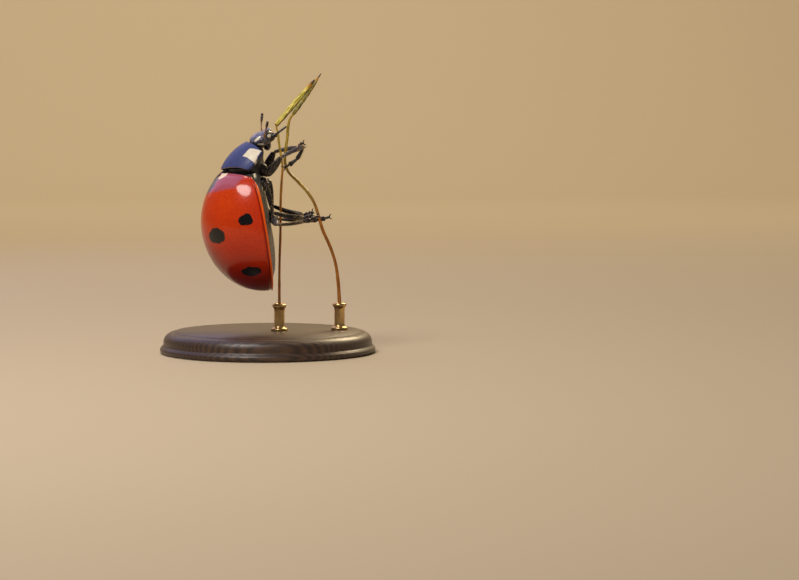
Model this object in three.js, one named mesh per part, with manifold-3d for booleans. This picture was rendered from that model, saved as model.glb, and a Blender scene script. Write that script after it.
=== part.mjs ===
// A seven-spot ladybird (Coccinella septempunctata) at life size, climbing two moss stalks that a plain
// display stand holds up. Millimetres, +Z up, origin in the middle of the stand's underside.
// The beetle is built in a frame of its own: x forwards, y to its left, z towards its back.
import * as THREE from "three";
import { mergeVertices } from "three/addons/utils/BufferGeometryUtils.js";
import Module from "manifold-3d";

const wasm = await Module();
wasm.setup();

// ---- Driving dimensions -------------------------------------------------------------------------

const GAP = 0.04; // the thin cut between neighbouring pieces
const FINENESS = 0.03; // how far a flat facet may leave the round surface that it stands for
const SHELL = 0.5; // thickness of a wing case
const LIMB = 0.26; // radius of the slim limbs and feelers
const CLUB = 0.28; // radius of the feelers' clubs and of the palps' blades
const FAR = 8; // further out than any part of the beetle reaches

const BODY = {
  tilt: THREE.MathUtils.degToRad(11), // how far the back leans over from upright
  centre: new THREE.Vector3(-0.304, 0, 5.64), // where the beetle's own origin sits above the stand
};

// The wing cases together make an ellipsoid dome, cut off along their lower rims. Seen from the side
// the rim is a shallow bow, as [forwards, up].
const DOME = { middle: 0.285, length: 3.08, halfWidth: 2.6, height: 2.7 };
const RIM = [[-3, 0.02], [-2, -0.1], [-0.8, -0.17], [0.4, -0.22], [1.4, -0.24], [2.1, -0.2], [2.55, -0.02]];

// The shoulders: another ellipsoid, which rounds off the wing cases' front edges.
const SHOULDERS = { centre: new THREE.Vector3(0.5, 0, 1.4), radii: [2.5, 5.8, 3] };

// The small triangular plate between the wing cases, behind the neck shield.
const SCUTELLUM = { front: 3.2, rear: 2.55, halfWidth: 0.34 };

// What the wing cases cover: a dome inside theirs, and a shallower bulge of belly below their rims.
const TRUNK = {
  rear: DOME.length - SHELL - GAP,
  front: 3.3,
  halfWidth: DOME.halfWidth - SHELL - GAP,
  height: DOME.height - SHELL - GAP,
  belly: 0.5, // the depth of the belly behind the middle, and of the chest before it
  chest: 0.68,
};
const TRUNK_CUTS = [2.64, 1.95, 0.3, -0.5, -1.05, -1.5, -1.9]; // from the neck to the last belly ring
const TRUNK_NAMES = [
  "mesothorax",
  "metathorax",
  "abdomen_ring_1",
  "abdomen_ring_2",
  "abdomen_ring_3",
  "abdomen_ring_4",
  "abdomen_ring_5",
];

// The neck shield is a patch of a second ellipsoid, bent down over the neck.
const SHIELD = {
  centre: new THREE.Vector3(1.78, 0, -0.8),
  radius: 2.49,
  halfWidth: 1.9,
  thickness: 0.4,
  rearAngle: [56.5, 39], // degrees above the beetle's axis, on the midline and at the corner
  frontAngle: [14.5, 2],
  rearCorner: 1.54,
  frontCorner: 1.3,
  sideBulge: 0.1,
};

const NECK = { centre: new THREE.Vector3(3.15, 0, 0.05), radii: [1.0, 1.2, 0.95] };

const HEAD = {
  at: [4.18, 0, -0.8],
  radii: [0.44, 0.78, 0.66], // back of the head, half its width, and middle to mouth
  face: 0.36, // the same for the face and for the brow, which are flatter
  brow: 0.53,
  nod: THREE.MathUtils.degToRad(11.5),
};

// Points on the beetle from here on are [forwards, to the right, up], in its own frame.
const EYE = { at: [4.06, 0.66, -0.77], radii: [0.23, 0.2, 0.24] };
const LIP = { at: [4.5, 0, -1.22], radii: [0.2, 0.36, 0.16] };
const JAW = { at: [4.2, 0.4, -1.28], radii: [0.22, 0.2, 0.18] };

// A feeler runs from its root to its tip and ends in a club; a palp ends in a blade beside the mouth.
const FEELERS = {
  right: [[4.38, 0.68, -1.04], [4.56, 0.94, -1.08], [4.78, 1.16, -1.18]],
  left: [[4.5, -0.55, -0.96], [4.84, -0.88, -1.02], [5.24, -1.1, -1.15]],
};
const PALPS = {
  right: [[4.24, 0.36, -1.46], [4.46, 0.44, -1.92]],
  left: [[4.13, -0.34, -1.42], [4.16, -0.42, -1.58]],
};

// Each leg: its hip, then the thigh's start, the knee, the ankle and the joints of the foot.
const LEGS = {
  right_front: {
    hip: [2.78, 0.52, -0.6],
    leg: [[2.46, 0.7, -0.72], [3.17, 0.85, -1.54], [3.43, 0.66, -2.67]],
    foot: [[3.1, 0.6, -2.47], [2.82, 0.55, -2.0], [2.62, 0.5, -1.5]],
  },
  left_front: {
    hip: [2.78, -0.52, -0.6],
    leg: [[2.6, -0.7, -0.72], [3.44, -0.85, -1.33], [3.4, -0.7, -2.47]],
    foot: [[3.57, -0.6, -2.66], [3.6, -0.52, -2.83]],
  },
  right_middle: {
    hip: [2.12, 0.6, -0.52],
    leg: [[2.14, 0.85, -0.62], [0.78, 1.15, -0.66], [0.23, 0.66, -1.99]],
    foot: [[0.24, 0.54, -2.25], [0.28, 0.42, -2.54]],
  },
  left_middle: {
    hip: [2.12, -0.6, -0.52],
    leg: [[2.22, -0.85, -0.88], [0.99, -1.2, -0.79], [0.29, -0.72, -2.1]],
    foot: [[0.31, -0.64, -2.35], [0.4, -0.52, -2.62]],
  },
  right_hind: {
    hip: [0.62, 0.62, -0.48],
    leg: [[0.47, 0.9, -0.66], [0.23, 1.75, -0.66], [0.11, 1.3, -1.86]],
    foot: [[0.1, 1.12, -2.31], [0.23, 0.86, -2.79]],
  },
  left_hind: {
    hip: [0.62, -0.62, -0.48],
    leg: [[0.5, -0.9, -0.72], [0.33, -1.8, -0.86], [-0.01, -1.3, -2.14]],
    foot: [[-0.07, -1.1, -2.84], [-0.03, -0.9, -3.46]],
  },
};
const HIP_RADII = [0.36, 0.34, 0.3];
const THIGH = [[0, LIMB], [0.45, 0.3], [1, LIMB]]; // radius at shares of the length
const SHIN = [[0, LIMB], [1, LIMB]];

// The two moss stalks, as points above the stand: [across, depth, height], and the capsule on each.
const STALK_RADIUS = 0.2;
const STALK_MAIN = [
  [0.53, -0.15, 2.3], [0.55, -0.15, 4.3], [0.59, -0.15, 5.4], [0.6, -0.15, 6.4], [0.62, -0.15, 7.3],
  [0.67, -0.16, 8.1], [0.7, -0.17, 8.6], [0.62, -0.16, 9.2], [0.54, -0.15, 9.7], [0.42, -0.12, 10.36],
];
const STALK_SIDE = [
  [3.35, 0.15, 2.3], [3.31, 0.15, 3.0], [3.12, 0.14, 4.29], [2.91, 0.14, 4.9], [2.56, 0.14, 5.7],
  [2.36, 0.14, 6.39], [2.19, 0.16, 6.9], [1.93, 0.19, 7.35], [1.45, 0.25, 7.9], [0.95, 0.3, 8.45],
  [0.84, 0.32, 8.85], [0.88, 0.34, 9.4], [0.96, 0.36, 10.0], [1.02, 0.37, 10.5], [1.13, 0.385, 10.88],
];
const CAPSULE_MAIN = {
  foot: new THREE.Vector3(0.44, -0.11, 10.55),
  tip: new THREE.Vector3(2.15, -0.04, 12.55),
  profile: [[0, 0.16], [0.3, 0.19], [0.7, 0.16], [1, 0.12]], // radius at shares of the length
};
const CAPSULE_SIDE = {
  foot: new THREE.Vector3(1.27, 0.39, 11.05),
  tip: new THREE.Vector3(2.5, 0.42, 12.87),
  profile: [[0, 0.16], [0.35, 0.18], [0.7, 0.16], [1, 0.12]],
};

// The stand: a turned board with a round foot and a rounded top edge, a cove between them, and a
// brass rod under each stalk with a collar at its foot and a cup at its top.
const STAND = { radius: 5, thickness: 1, foot: 0.16, topEdge: 0.46, step: 0.62, flat: 4.3 };
const ROD = { collar: 0.4, stem: 0.25, cup: 0.33, top: 2.27 };

// ---- Colours ------------------------------------------------------------------------------------

const finish = (color, roughness, metalness = 0) =>
  new THREE.MeshStandardMaterial({ color, roughness, metalness });

const MATERIALS = {
  wingCase: finish(0xd2300a, 0.25),
  shield: finish(0x14162a, 0.25),
  cuticle: finish(0x121316, 0.4),
  eye: finish(0x0c0c10, 0.2),
  feeler: finish(0x4a2c18, 0.5),
  stalk: finish(0x9a5a24, 0.55),
  capsule: finish(0x9a9a3c, 0.6),
  board: finish(0x2c2a28, 0.5),
  rod: finish(0xb08d50, 0.3, 1),
};

// ---- Making solids ------------------------------------------------------------------------------

// A three.js geometry as a manifold-3d solid, with its shared vertices merged and collapsed faces dropped.
function solidOf(geometry) {
  const bare = new THREE.BufferGeometry().setAttribute("position", geometry.getAttribute("position"));
  if (geometry.index) bare.setIndex(geometry.index);
  const merged = mergeVertices(bare, 1e-4);
  const index = merged.index.array;
  const kept = [];
  for (let i = 0; i < index.length; i += 3) {
    const [a, b, c] = index.slice(i, i + 3);
    if (a !== b && b !== c && c !== a) kept.push(a, b, c);
  }
  return new wasm.Manifold(
    new wasm.Mesh({
      numProp: 3,
      vertProperties: merged.getAttribute("position").array,
      triVerts: new Uint32Array(kept),
    }),
  );
}

// A solid as a three.js geometry.
function geometryOf(solid) {
  const { numProp, numVert, vertProperties, triVerts } = solid.getMesh();
  const positions = new Float32Array(numVert * 3);
  for (let i = 0; i < numVert; i++) {
    positions.set(vertProperties.subarray(i * numProp, i * numProp + 3), i * 3);
  }
  const geometry = new THREE.BufferGeometry()
    .setAttribute("position", new THREE.BufferAttribute(positions, 3))
    .setIndex(new THREE.BufferAttribute(triVerts, 1));
  geometry.computeVertexNormals();
  return geometry;
}

// A solid swollen by the gap, each vertex moved out along its own normal.
function swollen(solid) {
  const geometry = geometryOf(solid);
  const position = geometry.getAttribute("position");
  const point = new THREE.Vector3();
  const normal = new THREE.Vector3();
  for (let i = 0; i < position.count; i++) {
    normal.fromBufferAttribute(geometry.getAttribute("normal"), i);
    point.fromBufferAttribute(position, i).addScaledVector(normal, GAP);
    position.setXYZ(i, point.x, point.y, point.z);
  }
  return solidOf(geometry);
}

const largest = (solid) =>
  solid.decompose().reduce((best, one) => (one.volume() > best.volume() ? one : best));

// A solid with its neighbours, swollen by the gap, cut out of it. Only the largest piece is kept.
function clearOf(solid, ...neighbours) {
  return largest(neighbours.reduce((rest, other) => rest.subtract(swollen(other)), solid));
}

// A sphere whose poles lie on the x axis, with each of its points moved by shape(point).
function formed(around, along, shape) {
  const geometry = new THREE.SphereGeometry(1, around, along).rotateZ(-Math.PI / 2);
  const position = geometry.getAttribute("position");
  const point = new THREE.Vector3();
  for (let i = 0; i < position.count; i++) {
    point.fromBufferAttribute(position, i);
    shape(point);
    position.setXYZ(i, point.x, point.y, point.z);
  }
  return solidOf(geometry);
}

const ellipsoid = (centre, radii, around = 12, along = 8) =>
  formed(around, along, (p) => p.set(p.x * radii[0], p.y * radii[1], p.z * radii[2]).add(centre));

const block = (low, high) =>
  solidOf(
    new THREE.BoxGeometry(high[0] - low[0], high[1] - low[1], high[2] - low[2]).translate(
      (low[0] + high[0]) / 2,
      (low[1] + high[1]) / 2,
      (low[2] + high[2]) / 2,
    ),
  );

// A point given as [forwards, to the right, up] in the beetle's frame.
const place = ([forwards, right, up]) => new THREE.Vector3(forwards, -right, up);

// The same place on the right side (1) or the left (-1).
const across = ([forwards, right, up], side) => [forwards, side * right, up];

// A straight round limb from one point to another: a lathed profile of [share of length, radius] pairs
// between two rounded ends, which stand past the points by seven tenths of their radius.
function limb(from, to, profile, sides = 8) {
  const length = from.distanceTo(to);
  const [first, last] = [profile.at(0)[1], profile.at(-1)[1]];
  const outline = [
    new THREE.Vector2(0, -0.7 * first),
    new THREE.Vector2(0.7 * first, -0.45 * first),
    ...profile.map(([share, radius]) => new THREE.Vector2(radius, share * length)),
    new THREE.Vector2(0.7 * last, length + 0.45 * last),
    new THREE.Vector2(0, length + 0.7 * last),
  ];
  const turn = new THREE.Quaternion().setFromUnitVectors(
    new THREE.Vector3(0, 1, 0),
    to.clone().sub(from).normalize(),
  );
  const geometry = new THREE.LatheGeometry(outline, sides).applyQuaternion(turn);
  return solidOf(geometry.translate(from.x, from.y, from.z));
}

// Straight limbs joined end to end along a list of points, with a radius at each point.
function chain(points, radii) {
  const links = points.slice(1).map((point, i) => {
    const profile = [[0, radii[i]], [1, radii[i + 1]]];
    return limb(points[i], point, profile, 7);
  });
  return links.reduce((whole, link) => whole.add(link));
}

// ---- Neck shield --------------------------------------------------------------------------------

// A point of the shield: across runs from -1 to 1 between its side edges, back from 0 at the front
// edge to 1 at the rear edge, depth from 0 on the outside to 1 on the inside.
function shieldPoint(across, back, depth) {
  const { centre, radius, halfWidth, thickness, rearAngle, frontAngle } = SHIELD;
  const { rearCorner, frontCorner, sideBulge } = SHIELD;
  const corner = across * across;
  const rear = THREE.MathUtils.lerp(rearAngle[0], rearAngle[1], corner);
  const front = THREE.MathUtils.lerp(frontAngle[0], frontAngle[1], corner);
  const angle = THREE.MathUtils.degToRad(THREE.MathUtils.lerp(front, rear, back));
  const edge =
    THREE.MathUtils.lerp(frontCorner, rearCorner, back) + sideBulge * 4 * back * (1 - back);
  const share = (across * edge) / halfWidth;
  const reach = Math.sqrt(1 - share * share);
  const inPlane = (radius - depth * thickness) * reach;
  return new THREE.Vector3(
    centre.x + inPlane * Math.cos(angle),
    share * (halfWidth - depth * thickness),
    centre.z + inPlane * Math.sin(angle),
  );
}

// The shield as a closed plate: a plane's grid bent to the outside, and again to the inside, with
// walls between their edges.
function shieldSolid() {
  const [columns, rows] = [12, 7];
  const positions = [];
  const index = [];
  const corner = (c, r, side) => (side * (rows + 1) + r) * (columns + 1) + c;
  for (const side of [0, 1]) {
    for (let r = 0; r <= rows; r++) {
      for (let c = 0; c <= columns; c++) {
        positions.push(...shieldPoint((2 * c) / columns - 1, r / rows, side).toArray());
      }
    }
  }
  const quad = (a, b, c, d) => index.push(a, b, c, a, c, d);
  for (let r = 0; r < rows; r++) {
    for (let c = 0; c < columns; c++) {
      quad(corner(c, r, 0), corner(c + 1, r, 0), corner(c + 1, r + 1, 0), corner(c, r + 1, 0));
      quad(corner(c, r, 1), corner(c, r + 1, 1), corner(c + 1, r + 1, 1), corner(c + 1, r, 1));
    }
    quad(corner(0, r, 0), corner(0, r + 1, 0), corner(0, r + 1, 1), corner(0, r, 1));
    quad(corner(columns, r, 0), corner(columns, r, 1), corner(columns, r + 1, 1), corner(columns, r + 1, 0));
  }
  for (let c = 0; c < columns; c++) {
    quad(corner(c, 0, 0), corner(c, 0, 1), corner(c + 1, 0, 1), corner(c + 1, 0, 0));
    quad(corner(c, rows, 0), corner(c + 1, rows, 0), corner(c + 1, rows, 1), corner(c, rows, 1));
  }
  const geometry = new THREE.BufferGeometry()
    .setAttribute("position", new THREE.Float32BufferAttribute(positions, 3))
    .setIndex(index);
  return solidOf(geometry);
}

const shield = shieldSolid();

// ---- Wing cases and trunk -----------------------------------------------------------------------

function domeSolid() {
  const { middle, length, halfWidth, height } = DOME;
  return ellipsoid(new THREE.Vector3(middle, 0, 0), [length, halfWidth, height], 30, 16);
}

// The trunk is one closed form: its upper half follows the inside of the wing cases, its lower half
// is the belly.
function trunkSolid() {
  const { rear, front, halfWidth, height, belly, chest } = TRUNK;
  return formed(24, 16, (p) =>
    p.set(
      DOME.middle + p.x * (p.x > 0 ? front : rear),
      p.y * halfWidth,
      p.z * (p.z > 0 ? height : THREE.MathUtils.lerp(belly, chest, Math.max(0, p.x))),
    ),
  );
}

// Everything behind the front edges of the wing cases, which curve back towards their rims.
function behindShoulders() {
  const { centre, radii } = SHOULDERS;
  return ellipsoid(centre, radii, 24, 16).add(block([-FAR, -FAR, -FAR], [centre.x, FAR, FAR]));
}

// Everything above the lower rims of the wing cases: their bow, carried across and up. The bow ends
// ahead of the rims, so a block goes on from its last point.
function aboveRim() {
  const bow = new THREE.SplineCurve(RIM.map(([x, z]) => new THREE.Vector2(x, z)));
  const [rear] = RIM.at(0);
  const [front, height] = RIM.at(-1);
  const side = new THREE.Shape([
    ...bow.getPoints(14),
    new THREE.Vector2(front, FAR),
    new THREE.Vector2(rear, FAR),
  ]);
  const slab = new THREE.ExtrudeGeometry(side, { depth: 2 * FAR, bevelEnabled: false });
  const ahead = block([front - GAP, -FAR, height], [FAR, FAR, FAR]);
  return solidOf(slab.rotateX(Math.PI / 2).translate(0, FAR, 0)).add(ahead);
}

// The scutellum's outline carried straight up through the wing cases, let out on each side.
function scutellumPrism(letOut) {
  const { front, rear, halfWidth } = SCUTELLUM;
  const outline = new THREE.Shape([
    new THREE.Vector2(front, -halfWidth - letOut),
    new THREE.Vector2(front, halfWidth + letOut),
    new THREE.Vector2(rear - letOut, 0),
  ]);
  return solidOf(new THREE.ExtrudeGeometry(outline, { depth: FAR, bevelEnabled: false }));
}

const trunk = trunkSolid();
const bounds = behindShoulders().intersect(aboveRim());
const cover = domeSolid().subtract(swollen(trunk)).subtract(swollen(shield)).intersect(bounds);
const scutellum = largest(cover.intersect(scutellumPrism(0)));
const wingCases = cover.subtract(scutellumPrism(GAP));
const wingCaseRight = largest(wingCases.intersect(block([-FAR, -FAR, -FAR], [FAR, -GAP / 2, FAR])));
const wingCaseLeft = largest(wingCases.intersect(block([-FAR, GAP / 2, -FAR], [FAR, FAR, FAR])));

// The trunk is parted by thin cuts square to the beetle's axis.
const trunkPieces = TRUNK_NAMES.map((name, i) => {
  const front = TRUNK_CUTS[i] - (i ? GAP / 2 : 0);
  const rear = i + 1 < TRUNK_CUTS.length ? TRUNK_CUTS[i + 1] + GAP / 2 : -FAR;
  return [name, largest(trunk.intersect(block([rear, -FAR, -FAR], [front, FAR, FAR])))];
});

// ---- Head ---------------------------------------------------------------------------------------

const tipped = new THREE.Quaternion().setFromAxisAngle(new THREE.Vector3(0, 1, 0), -HEAD.nod);

// An ellipsoid tipped with the head.
function headEllipsoid(at, radii, around = 12, along = 8) {
  const centre = place(at);
  return formed(around, along, (p) =>
    p.set(p.x * radii[0], p.y * radii[1], p.z * radii[2]).applyQuaternion(tipped).add(centre),
  );
}

// The skull's face and brow are flatter than its back and its lower half.
function skullSolid() {
  const [back, halfWidth, mouth] = HEAD.radii;
  const centre = place(HEAD.at);
  return formed(16, 10, (p) =>
    p
      .set(p.x * (p.x > 0 ? HEAD.face : back), p.y * halfWidth, p.z * (p.z > 0 ? HEAD.brow : mouth))
      .applyQuaternion(tipped)
      .add(centre),
  );
}

const head = clearOf(skullSolid(), shield);

// The neck fills the shield, down to the throat, between the trunk and the head.
const inner = SHIELD.thickness + GAP;
const neckFill = ellipsoid(
  SHIELD.centre,
  [SHIELD.radius - inner, SHIELD.halfWidth - inner, SHIELD.radius - inner],
  16,
  10,
).intersect(ellipsoid(NECK.centre, NECK.radii, 14, 10));
const neckFront = neckFill.intersect(block([TRUNK_CUTS[0] + GAP, -FAR, -FAR], [FAR, FAR, FAR]));
const neck = clearOf(neckFront, head, shield, wingCaseRight, wingCaseLeft, scutellum);

const eyeOf = (side) => headEllipsoid(across(EYE.at, side), EYE.radii);
const jawOf = (side) => headEllipsoid(across(JAW.at, side), JAW.radii);

const eyes = { right: eyeOf(1), left: eyeOf(-1) };
const lip = clearOf(headEllipsoid(LIP.at, LIP.radii), head);
const jaws = { right: clearOf(jawOf(1), head, lip), left: clearOf(jawOf(-1), head, lip) };

// ---- Stalks and stand ---------------------------------------------------------------------------

// A round stalk along a smooth curve through its points.
function stalkOf(points, steps) {
  const path = new THREE.CatmullRomCurve3(points.map((p) => new THREE.Vector3(...p)));
  const round = new THREE.Shape().absarc(0, 0, STALK_RADIUS, 0, 2 * Math.PI);
  const options = { steps, extrudePath: path, bevelEnabled: false, curveSegments: 4 };
  return solidOf(new THREE.ExtrudeGeometry(round, options));
}

const stalkMain = stalkOf(STALK_MAIN, 24);
const stalkSide = stalkOf(STALK_SIDE, 32);
const capsuleOf = ({ foot, tip, profile }, stalk) => clearOf(limb(foot, tip, profile), stalk);
const capsuleMain = capsuleOf(CAPSULE_MAIN, stalkMain);
const capsuleSide = clearOf(capsuleOf(CAPSULE_SIDE, stalkSide), capsuleMain);

// A solid turned on a lathe from points of [radius, height], about the upright line through x, y.
function turned(outline, sides, x = 0, y = 0) {
  const profile = outline.map(([r, height]) => new THREE.Vector2(r, height));
  return solidOf(new THREE.LatheGeometry(profile, sides).rotateX(Math.PI / 2).translate(x, y, 0));
}

function baseSolid() {
  const { radius, thickness, foot, topEdge, step, flat } = STAND;
  const degrees = THREE.MathUtils.degToRad;
  const edge = new THREE.Path()
    .absarc(radius - foot, foot, foot, degrees(-90), degrees(60))
    .absarc(radius - step, thickness / 2, topEdge, degrees(5), degrees(82));
  const moulding = edge.getPoints(2).map((p) => p.toArray());
  return turned([[0, 0], ...moulding, [flat, thickness], [0, thickness]], 44);
}

function rodUnder([x, y]) {
  const low = STAND.thickness + GAP;
  const { collar, stem, cup, top } = ROD;
  const outline = [
    [0, low],
    [collar, low],
    [collar, low + 0.1],
    [stem, low + 0.22],
    [stem, top - 0.34],
    [cup, top - 0.16],
    [cup, top],
    [0, top],
  ];
  return turned(outline, 14, x, y);
}

// ---- The beetle in the group's frame ------------------------------------------------------------

const beetle = new THREE.Group();
beetle.rotation.y = -(Math.PI / 2 + BODY.tilt);
beetle.position.copy(BODY.centre);
beetle.updateMatrix();

// The stalks as the beetle's frame sees them, to be cut out of whatever would touch them.
const toBeetle = beetle.matrix.clone().invert().elements;
const perch = [stalkMain, stalkSide, capsuleMain].map((solid) => solid.transform(toBeetle));

function keep(name, solid, material, group = beetle) {
  const mesh = new THREE.Mesh(geometryOf(largest(solid.simplify(FINENESS))), material);
  mesh.name = name;
  group.add(mesh);
}

keep("elytron_right", wingCaseRight, MATERIALS.wingCase);
keep("elytron_left", wingCaseLeft, MATERIALS.wingCase);
keep("scutellum", scutellum, MATERIALS.shield);
keep("pronotum", shield, MATERIALS.shield);
for (const [name, piece] of trunkPieces) keep(name, piece, MATERIALS.cuticle);
keep("prothorax", neck, MATERIALS.cuticle);
keep("labrum", clearOf(lip, ...perch), MATERIALS.cuticle);
keep("head", clearOf(head, eyes.right, eyes.left, ...perch), MATERIALS.shield);

const mouth = [lip, jaws.right, jaws.left];
for (const side of ["right", "left"]) {
  keep(`eye_${side}`, clearOf(eyes[side], shield), MATERIALS.eye);
  keep(`mandible_${side}`, clearOf(jaws[side], ...perch), MATERIALS.cuticle);
  const feeler = chain(FEELERS[side].map(place), [LIMB, LIMB, CLUB]);
  keep(`antenna_${side}`, clearOf(feeler, head, eyes[side], ...mouth), MATERIALS.feeler);
  const palp = chain(PALPS[side].map(place), [LIMB, CLUB]);
  keep(`maxillary_palp_${side}`, clearOf(palp, head, neck, ...mouth, ...perch), MATERIALS.cuticle);
}

// Each leg is cut where it meets the body, the stalks and the legs before it.
const legs = [];
for (const [name, { hip, leg, foot }] of Object.entries(LEGS)) {
  const [start, knee, ankle] = leg.map(place);
  const body = [trunk, neck, shield, wingCaseRight, wingCaseLeft, ...perch, ...legs];
  const toes = chain([ankle, ...foot.map(place)], Array(foot.length + 1).fill(LIMB));
  const coxa = clearOf(ellipsoid(place(hip), HIP_RADII), ...body);
  const femur = clearOf(limb(start, knee, THIGH), coxa, ...body);
  const tibia = clearOf(limb(knee, ankle, SHIN), coxa, femur, ...body);
  const tarsus = clearOf(toes, coxa, femur, tibia, ...body);
  legs.push(coxa, femur, tibia, tarsus);
  keep(`coxa_${name}`, coxa, MATERIALS.cuticle);
  keep(`femur_${name}`, femur, MATERIALS.cuticle);
  keep(`tibia_${name}`, tibia, MATERIALS.cuticle);
  keep(`tarsus_${name}`, tarsus, MATERIALS.cuticle);
}

const object = new THREE.Group().add(beetle);
keep("stalk_main", stalkMain, MATERIALS.stalk, object);
keep("stalk_side", stalkSide, MATERIALS.stalk, object);
keep("capsule_main", capsuleMain, MATERIALS.capsule, object);
keep("capsule_side", capsuleSide, MATERIALS.capsule, object);
keep("stand_base", baseSolid(), MATERIALS.board, object);
keep("stand_rod_main", rodUnder(STALK_MAIN[0]), MATERIALS.rod, object);
keep("stand_rod_side", rodUnder(STALK_SIDE[0]), MATERIALS.rod, object);

export default object;
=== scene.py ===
import math
from functools import partial

import bpy
import numpy as np
from mathutils import Matrix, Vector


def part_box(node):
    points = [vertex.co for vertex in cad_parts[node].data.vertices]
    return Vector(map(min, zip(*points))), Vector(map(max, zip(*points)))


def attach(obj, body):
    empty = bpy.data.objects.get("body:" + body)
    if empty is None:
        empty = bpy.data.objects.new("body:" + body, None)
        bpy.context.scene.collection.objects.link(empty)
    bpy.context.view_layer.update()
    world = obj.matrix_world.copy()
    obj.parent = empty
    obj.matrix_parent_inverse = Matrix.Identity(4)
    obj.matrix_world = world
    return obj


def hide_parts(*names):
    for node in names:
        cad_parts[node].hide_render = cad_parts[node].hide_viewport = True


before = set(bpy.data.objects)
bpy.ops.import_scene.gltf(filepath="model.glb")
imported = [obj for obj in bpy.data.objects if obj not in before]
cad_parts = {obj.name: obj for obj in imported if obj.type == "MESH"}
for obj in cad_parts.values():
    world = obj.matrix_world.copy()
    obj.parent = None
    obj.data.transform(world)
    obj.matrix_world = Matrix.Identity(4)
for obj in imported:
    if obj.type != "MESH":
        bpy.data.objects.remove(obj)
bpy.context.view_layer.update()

# ---- Wing cases ---------------------------------------------------------------------------------
# The wing cases are one hard dome parted along the back: thin, glossy, finely pitted shells of horn.
# Each has a rolled rim above a shallow groove, a swollen shoulder and a flange turned in below the rim.

MM = 0.001
TILT = math.radians(11)  # how far the back leans over from upright
BODY_CENTRE = np.array([-0.304, 0.0, 5.64])  # the beetle's own origin, in mm from the stand's foot
FORWARD = np.array([-math.sin(TILT), 0.0, math.cos(TILT)])
RIGHT = np.array([0.0, -1.0, 0.0])
UPWARD = np.array([-math.cos(TILT), 0.0, -math.sin(TILT)])  # out of the beetle's back

DOME_CENTRE = np.array([0.285, 0.0, 0.0])
DOME_RADII = np.array([3.08, 2.6, 2.7])
SHOULDER_CENTRE = np.array([0.5, 0.0, 1.4])  # the front edges lie on this second ellipsoid
SHOULDER_RADII = np.array([2.5, 5.8, 3.0])
RIM_AT = np.array([-3.0, -2.0, -0.8, 0.4, 1.4, 2.1, 2.55])
RIM_HEIGHT = np.array([0.02, -0.1, -0.17, -0.22, -0.24, -0.2, -0.02])
MEAN_GIRTH, MEAN_LENGTH = 2.65, 2.8  # radii that turn an angle over the dome into millimetres
TAIL_TURN = math.radians(-88.5)  # just short of the tail's point
SWELLING = [2.2, 1.72, 0.75]  # the middle of the swollen shoulder
CASE_WALL = 0.12
SEAM = 0.012  # half the gap between the two cases
FLANGE = 0.36


def through(knots, values, at):
    """A smooth line through values at rising knots: a cubic Hermite, whose slope at a knot is a weighted
    mean of the slopes on its two sides. values may have several columns."""
    knots = np.asarray(knots, float)
    values = np.asarray(values, float).reshape(len(knots), -1)
    slope = np.gradient(values, knots, axis=0)
    at = np.asarray(at, float)
    i = np.clip(np.searchsorted(knots, at, side="right") - 1, 0, len(knots) - 2)
    span = (knots[i + 1] - knots[i])[..., None]
    t = np.clip((at - knots[i])[..., None] / span, 0, 1)
    made = (
        values[i] * (1 + 2 * t) * (1 - t) ** 2
        + values[i + 1] * t * t * (3 - 2 * t)
        + span * slope[i] * t * (1 - t) ** 2
        - span * slope[i + 1] * t * t * (1 - t)
    )
    return made if values.shape[1] > 1 else made[..., 0]


def smooth(value, start, end):
    """0 before start and 1 after end, with the cubic 3x^2 - 2x^3 between."""
    t = np.clip((value - start) / (end - start), 0, 1)
    return t * t * (3 - 2 * t)


def crowded(count, crowding=0.8):
    """count shares from 0 to 1, closer together at both ends: x - c sin(2 pi x) / (2 pi)."""
    share = np.linspace(0, 1, count)
    return share - crowding * np.sin(2 * np.pi * share) / (2 * np.pi)


def edge_drop(distance, radius):
    """How far a rounded edge falls below its surface: a quarter circle of that radius."""
    reach = np.clip(1 - distance / radius, 0, 1)
    return radius * (1 - np.sqrt(1 - reach * reach))


def bell(distance, width):
    """A bell-shaped rise of height 1: e to the minus (distance / width) squared."""
    return np.exp(-((distance / width) ** 2))


def stand_up(points):
    """Places in the beetle's own frame (forwards, to its right, out of its back) in the part's frame."""
    return BODY_CENTRE + points @ np.stack([FORWARD, RIGHT, UPWARD])


def tube_faces(rows, columns):
    """The points of a grid numbered row by row, the next point round from each, and the faces between
    the rows, each row joined into a loop."""
    index = np.arange(rows * columns).reshape(rows, columns)
    after = np.roll(index, -1, axis=1)
    sides = np.stack([index[:-1], index[1:], after[1:], after[:-1]], -1).reshape(-1, 4)
    return index, after, sides


def wrapped(points, own):
    """A closed skin over a grid: rows run along the piece, columns once round it, and each end is
    closed by a fan of triangles to the middle of its last row."""
    rows, columns = points.shape[:2]
    count = rows * columns
    index, after, sides = tube_faces(rows, columns)
    none = np.full(columns, -1)
    first = np.stack([np.full(columns, count), index[0], after[0], none], -1)
    last = np.stack([np.full(columns, count + 1), after[-1], index[-1], none], -1)
    joined = [
        np.concatenate([grid.reshape(-1, 3), grid[[0, -1]].mean(1)]) for grid in (points, own)
    ]
    return joined[0], np.concatenate([sides, first, last]), joined[1]


def zipped(points, own):
    """A closed skin over a grid of thin loops: each end is closed straight across, column j to the
    column as far back from the loop's end."""
    rows, columns = points.shape[:2]
    index, _, sides = tube_faces(rows, columns)
    j = np.arange(columns // 2 - 1)
    across = np.stack([j, j + 1, columns - 2 - j, columns - 1 - j], -1)
    first = index[0][across]
    last = index[-1][across][:, ::-1]
    return points.reshape(-1, 3), np.concatenate([sides, first, last]), own.reshape(-1, 3)


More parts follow.
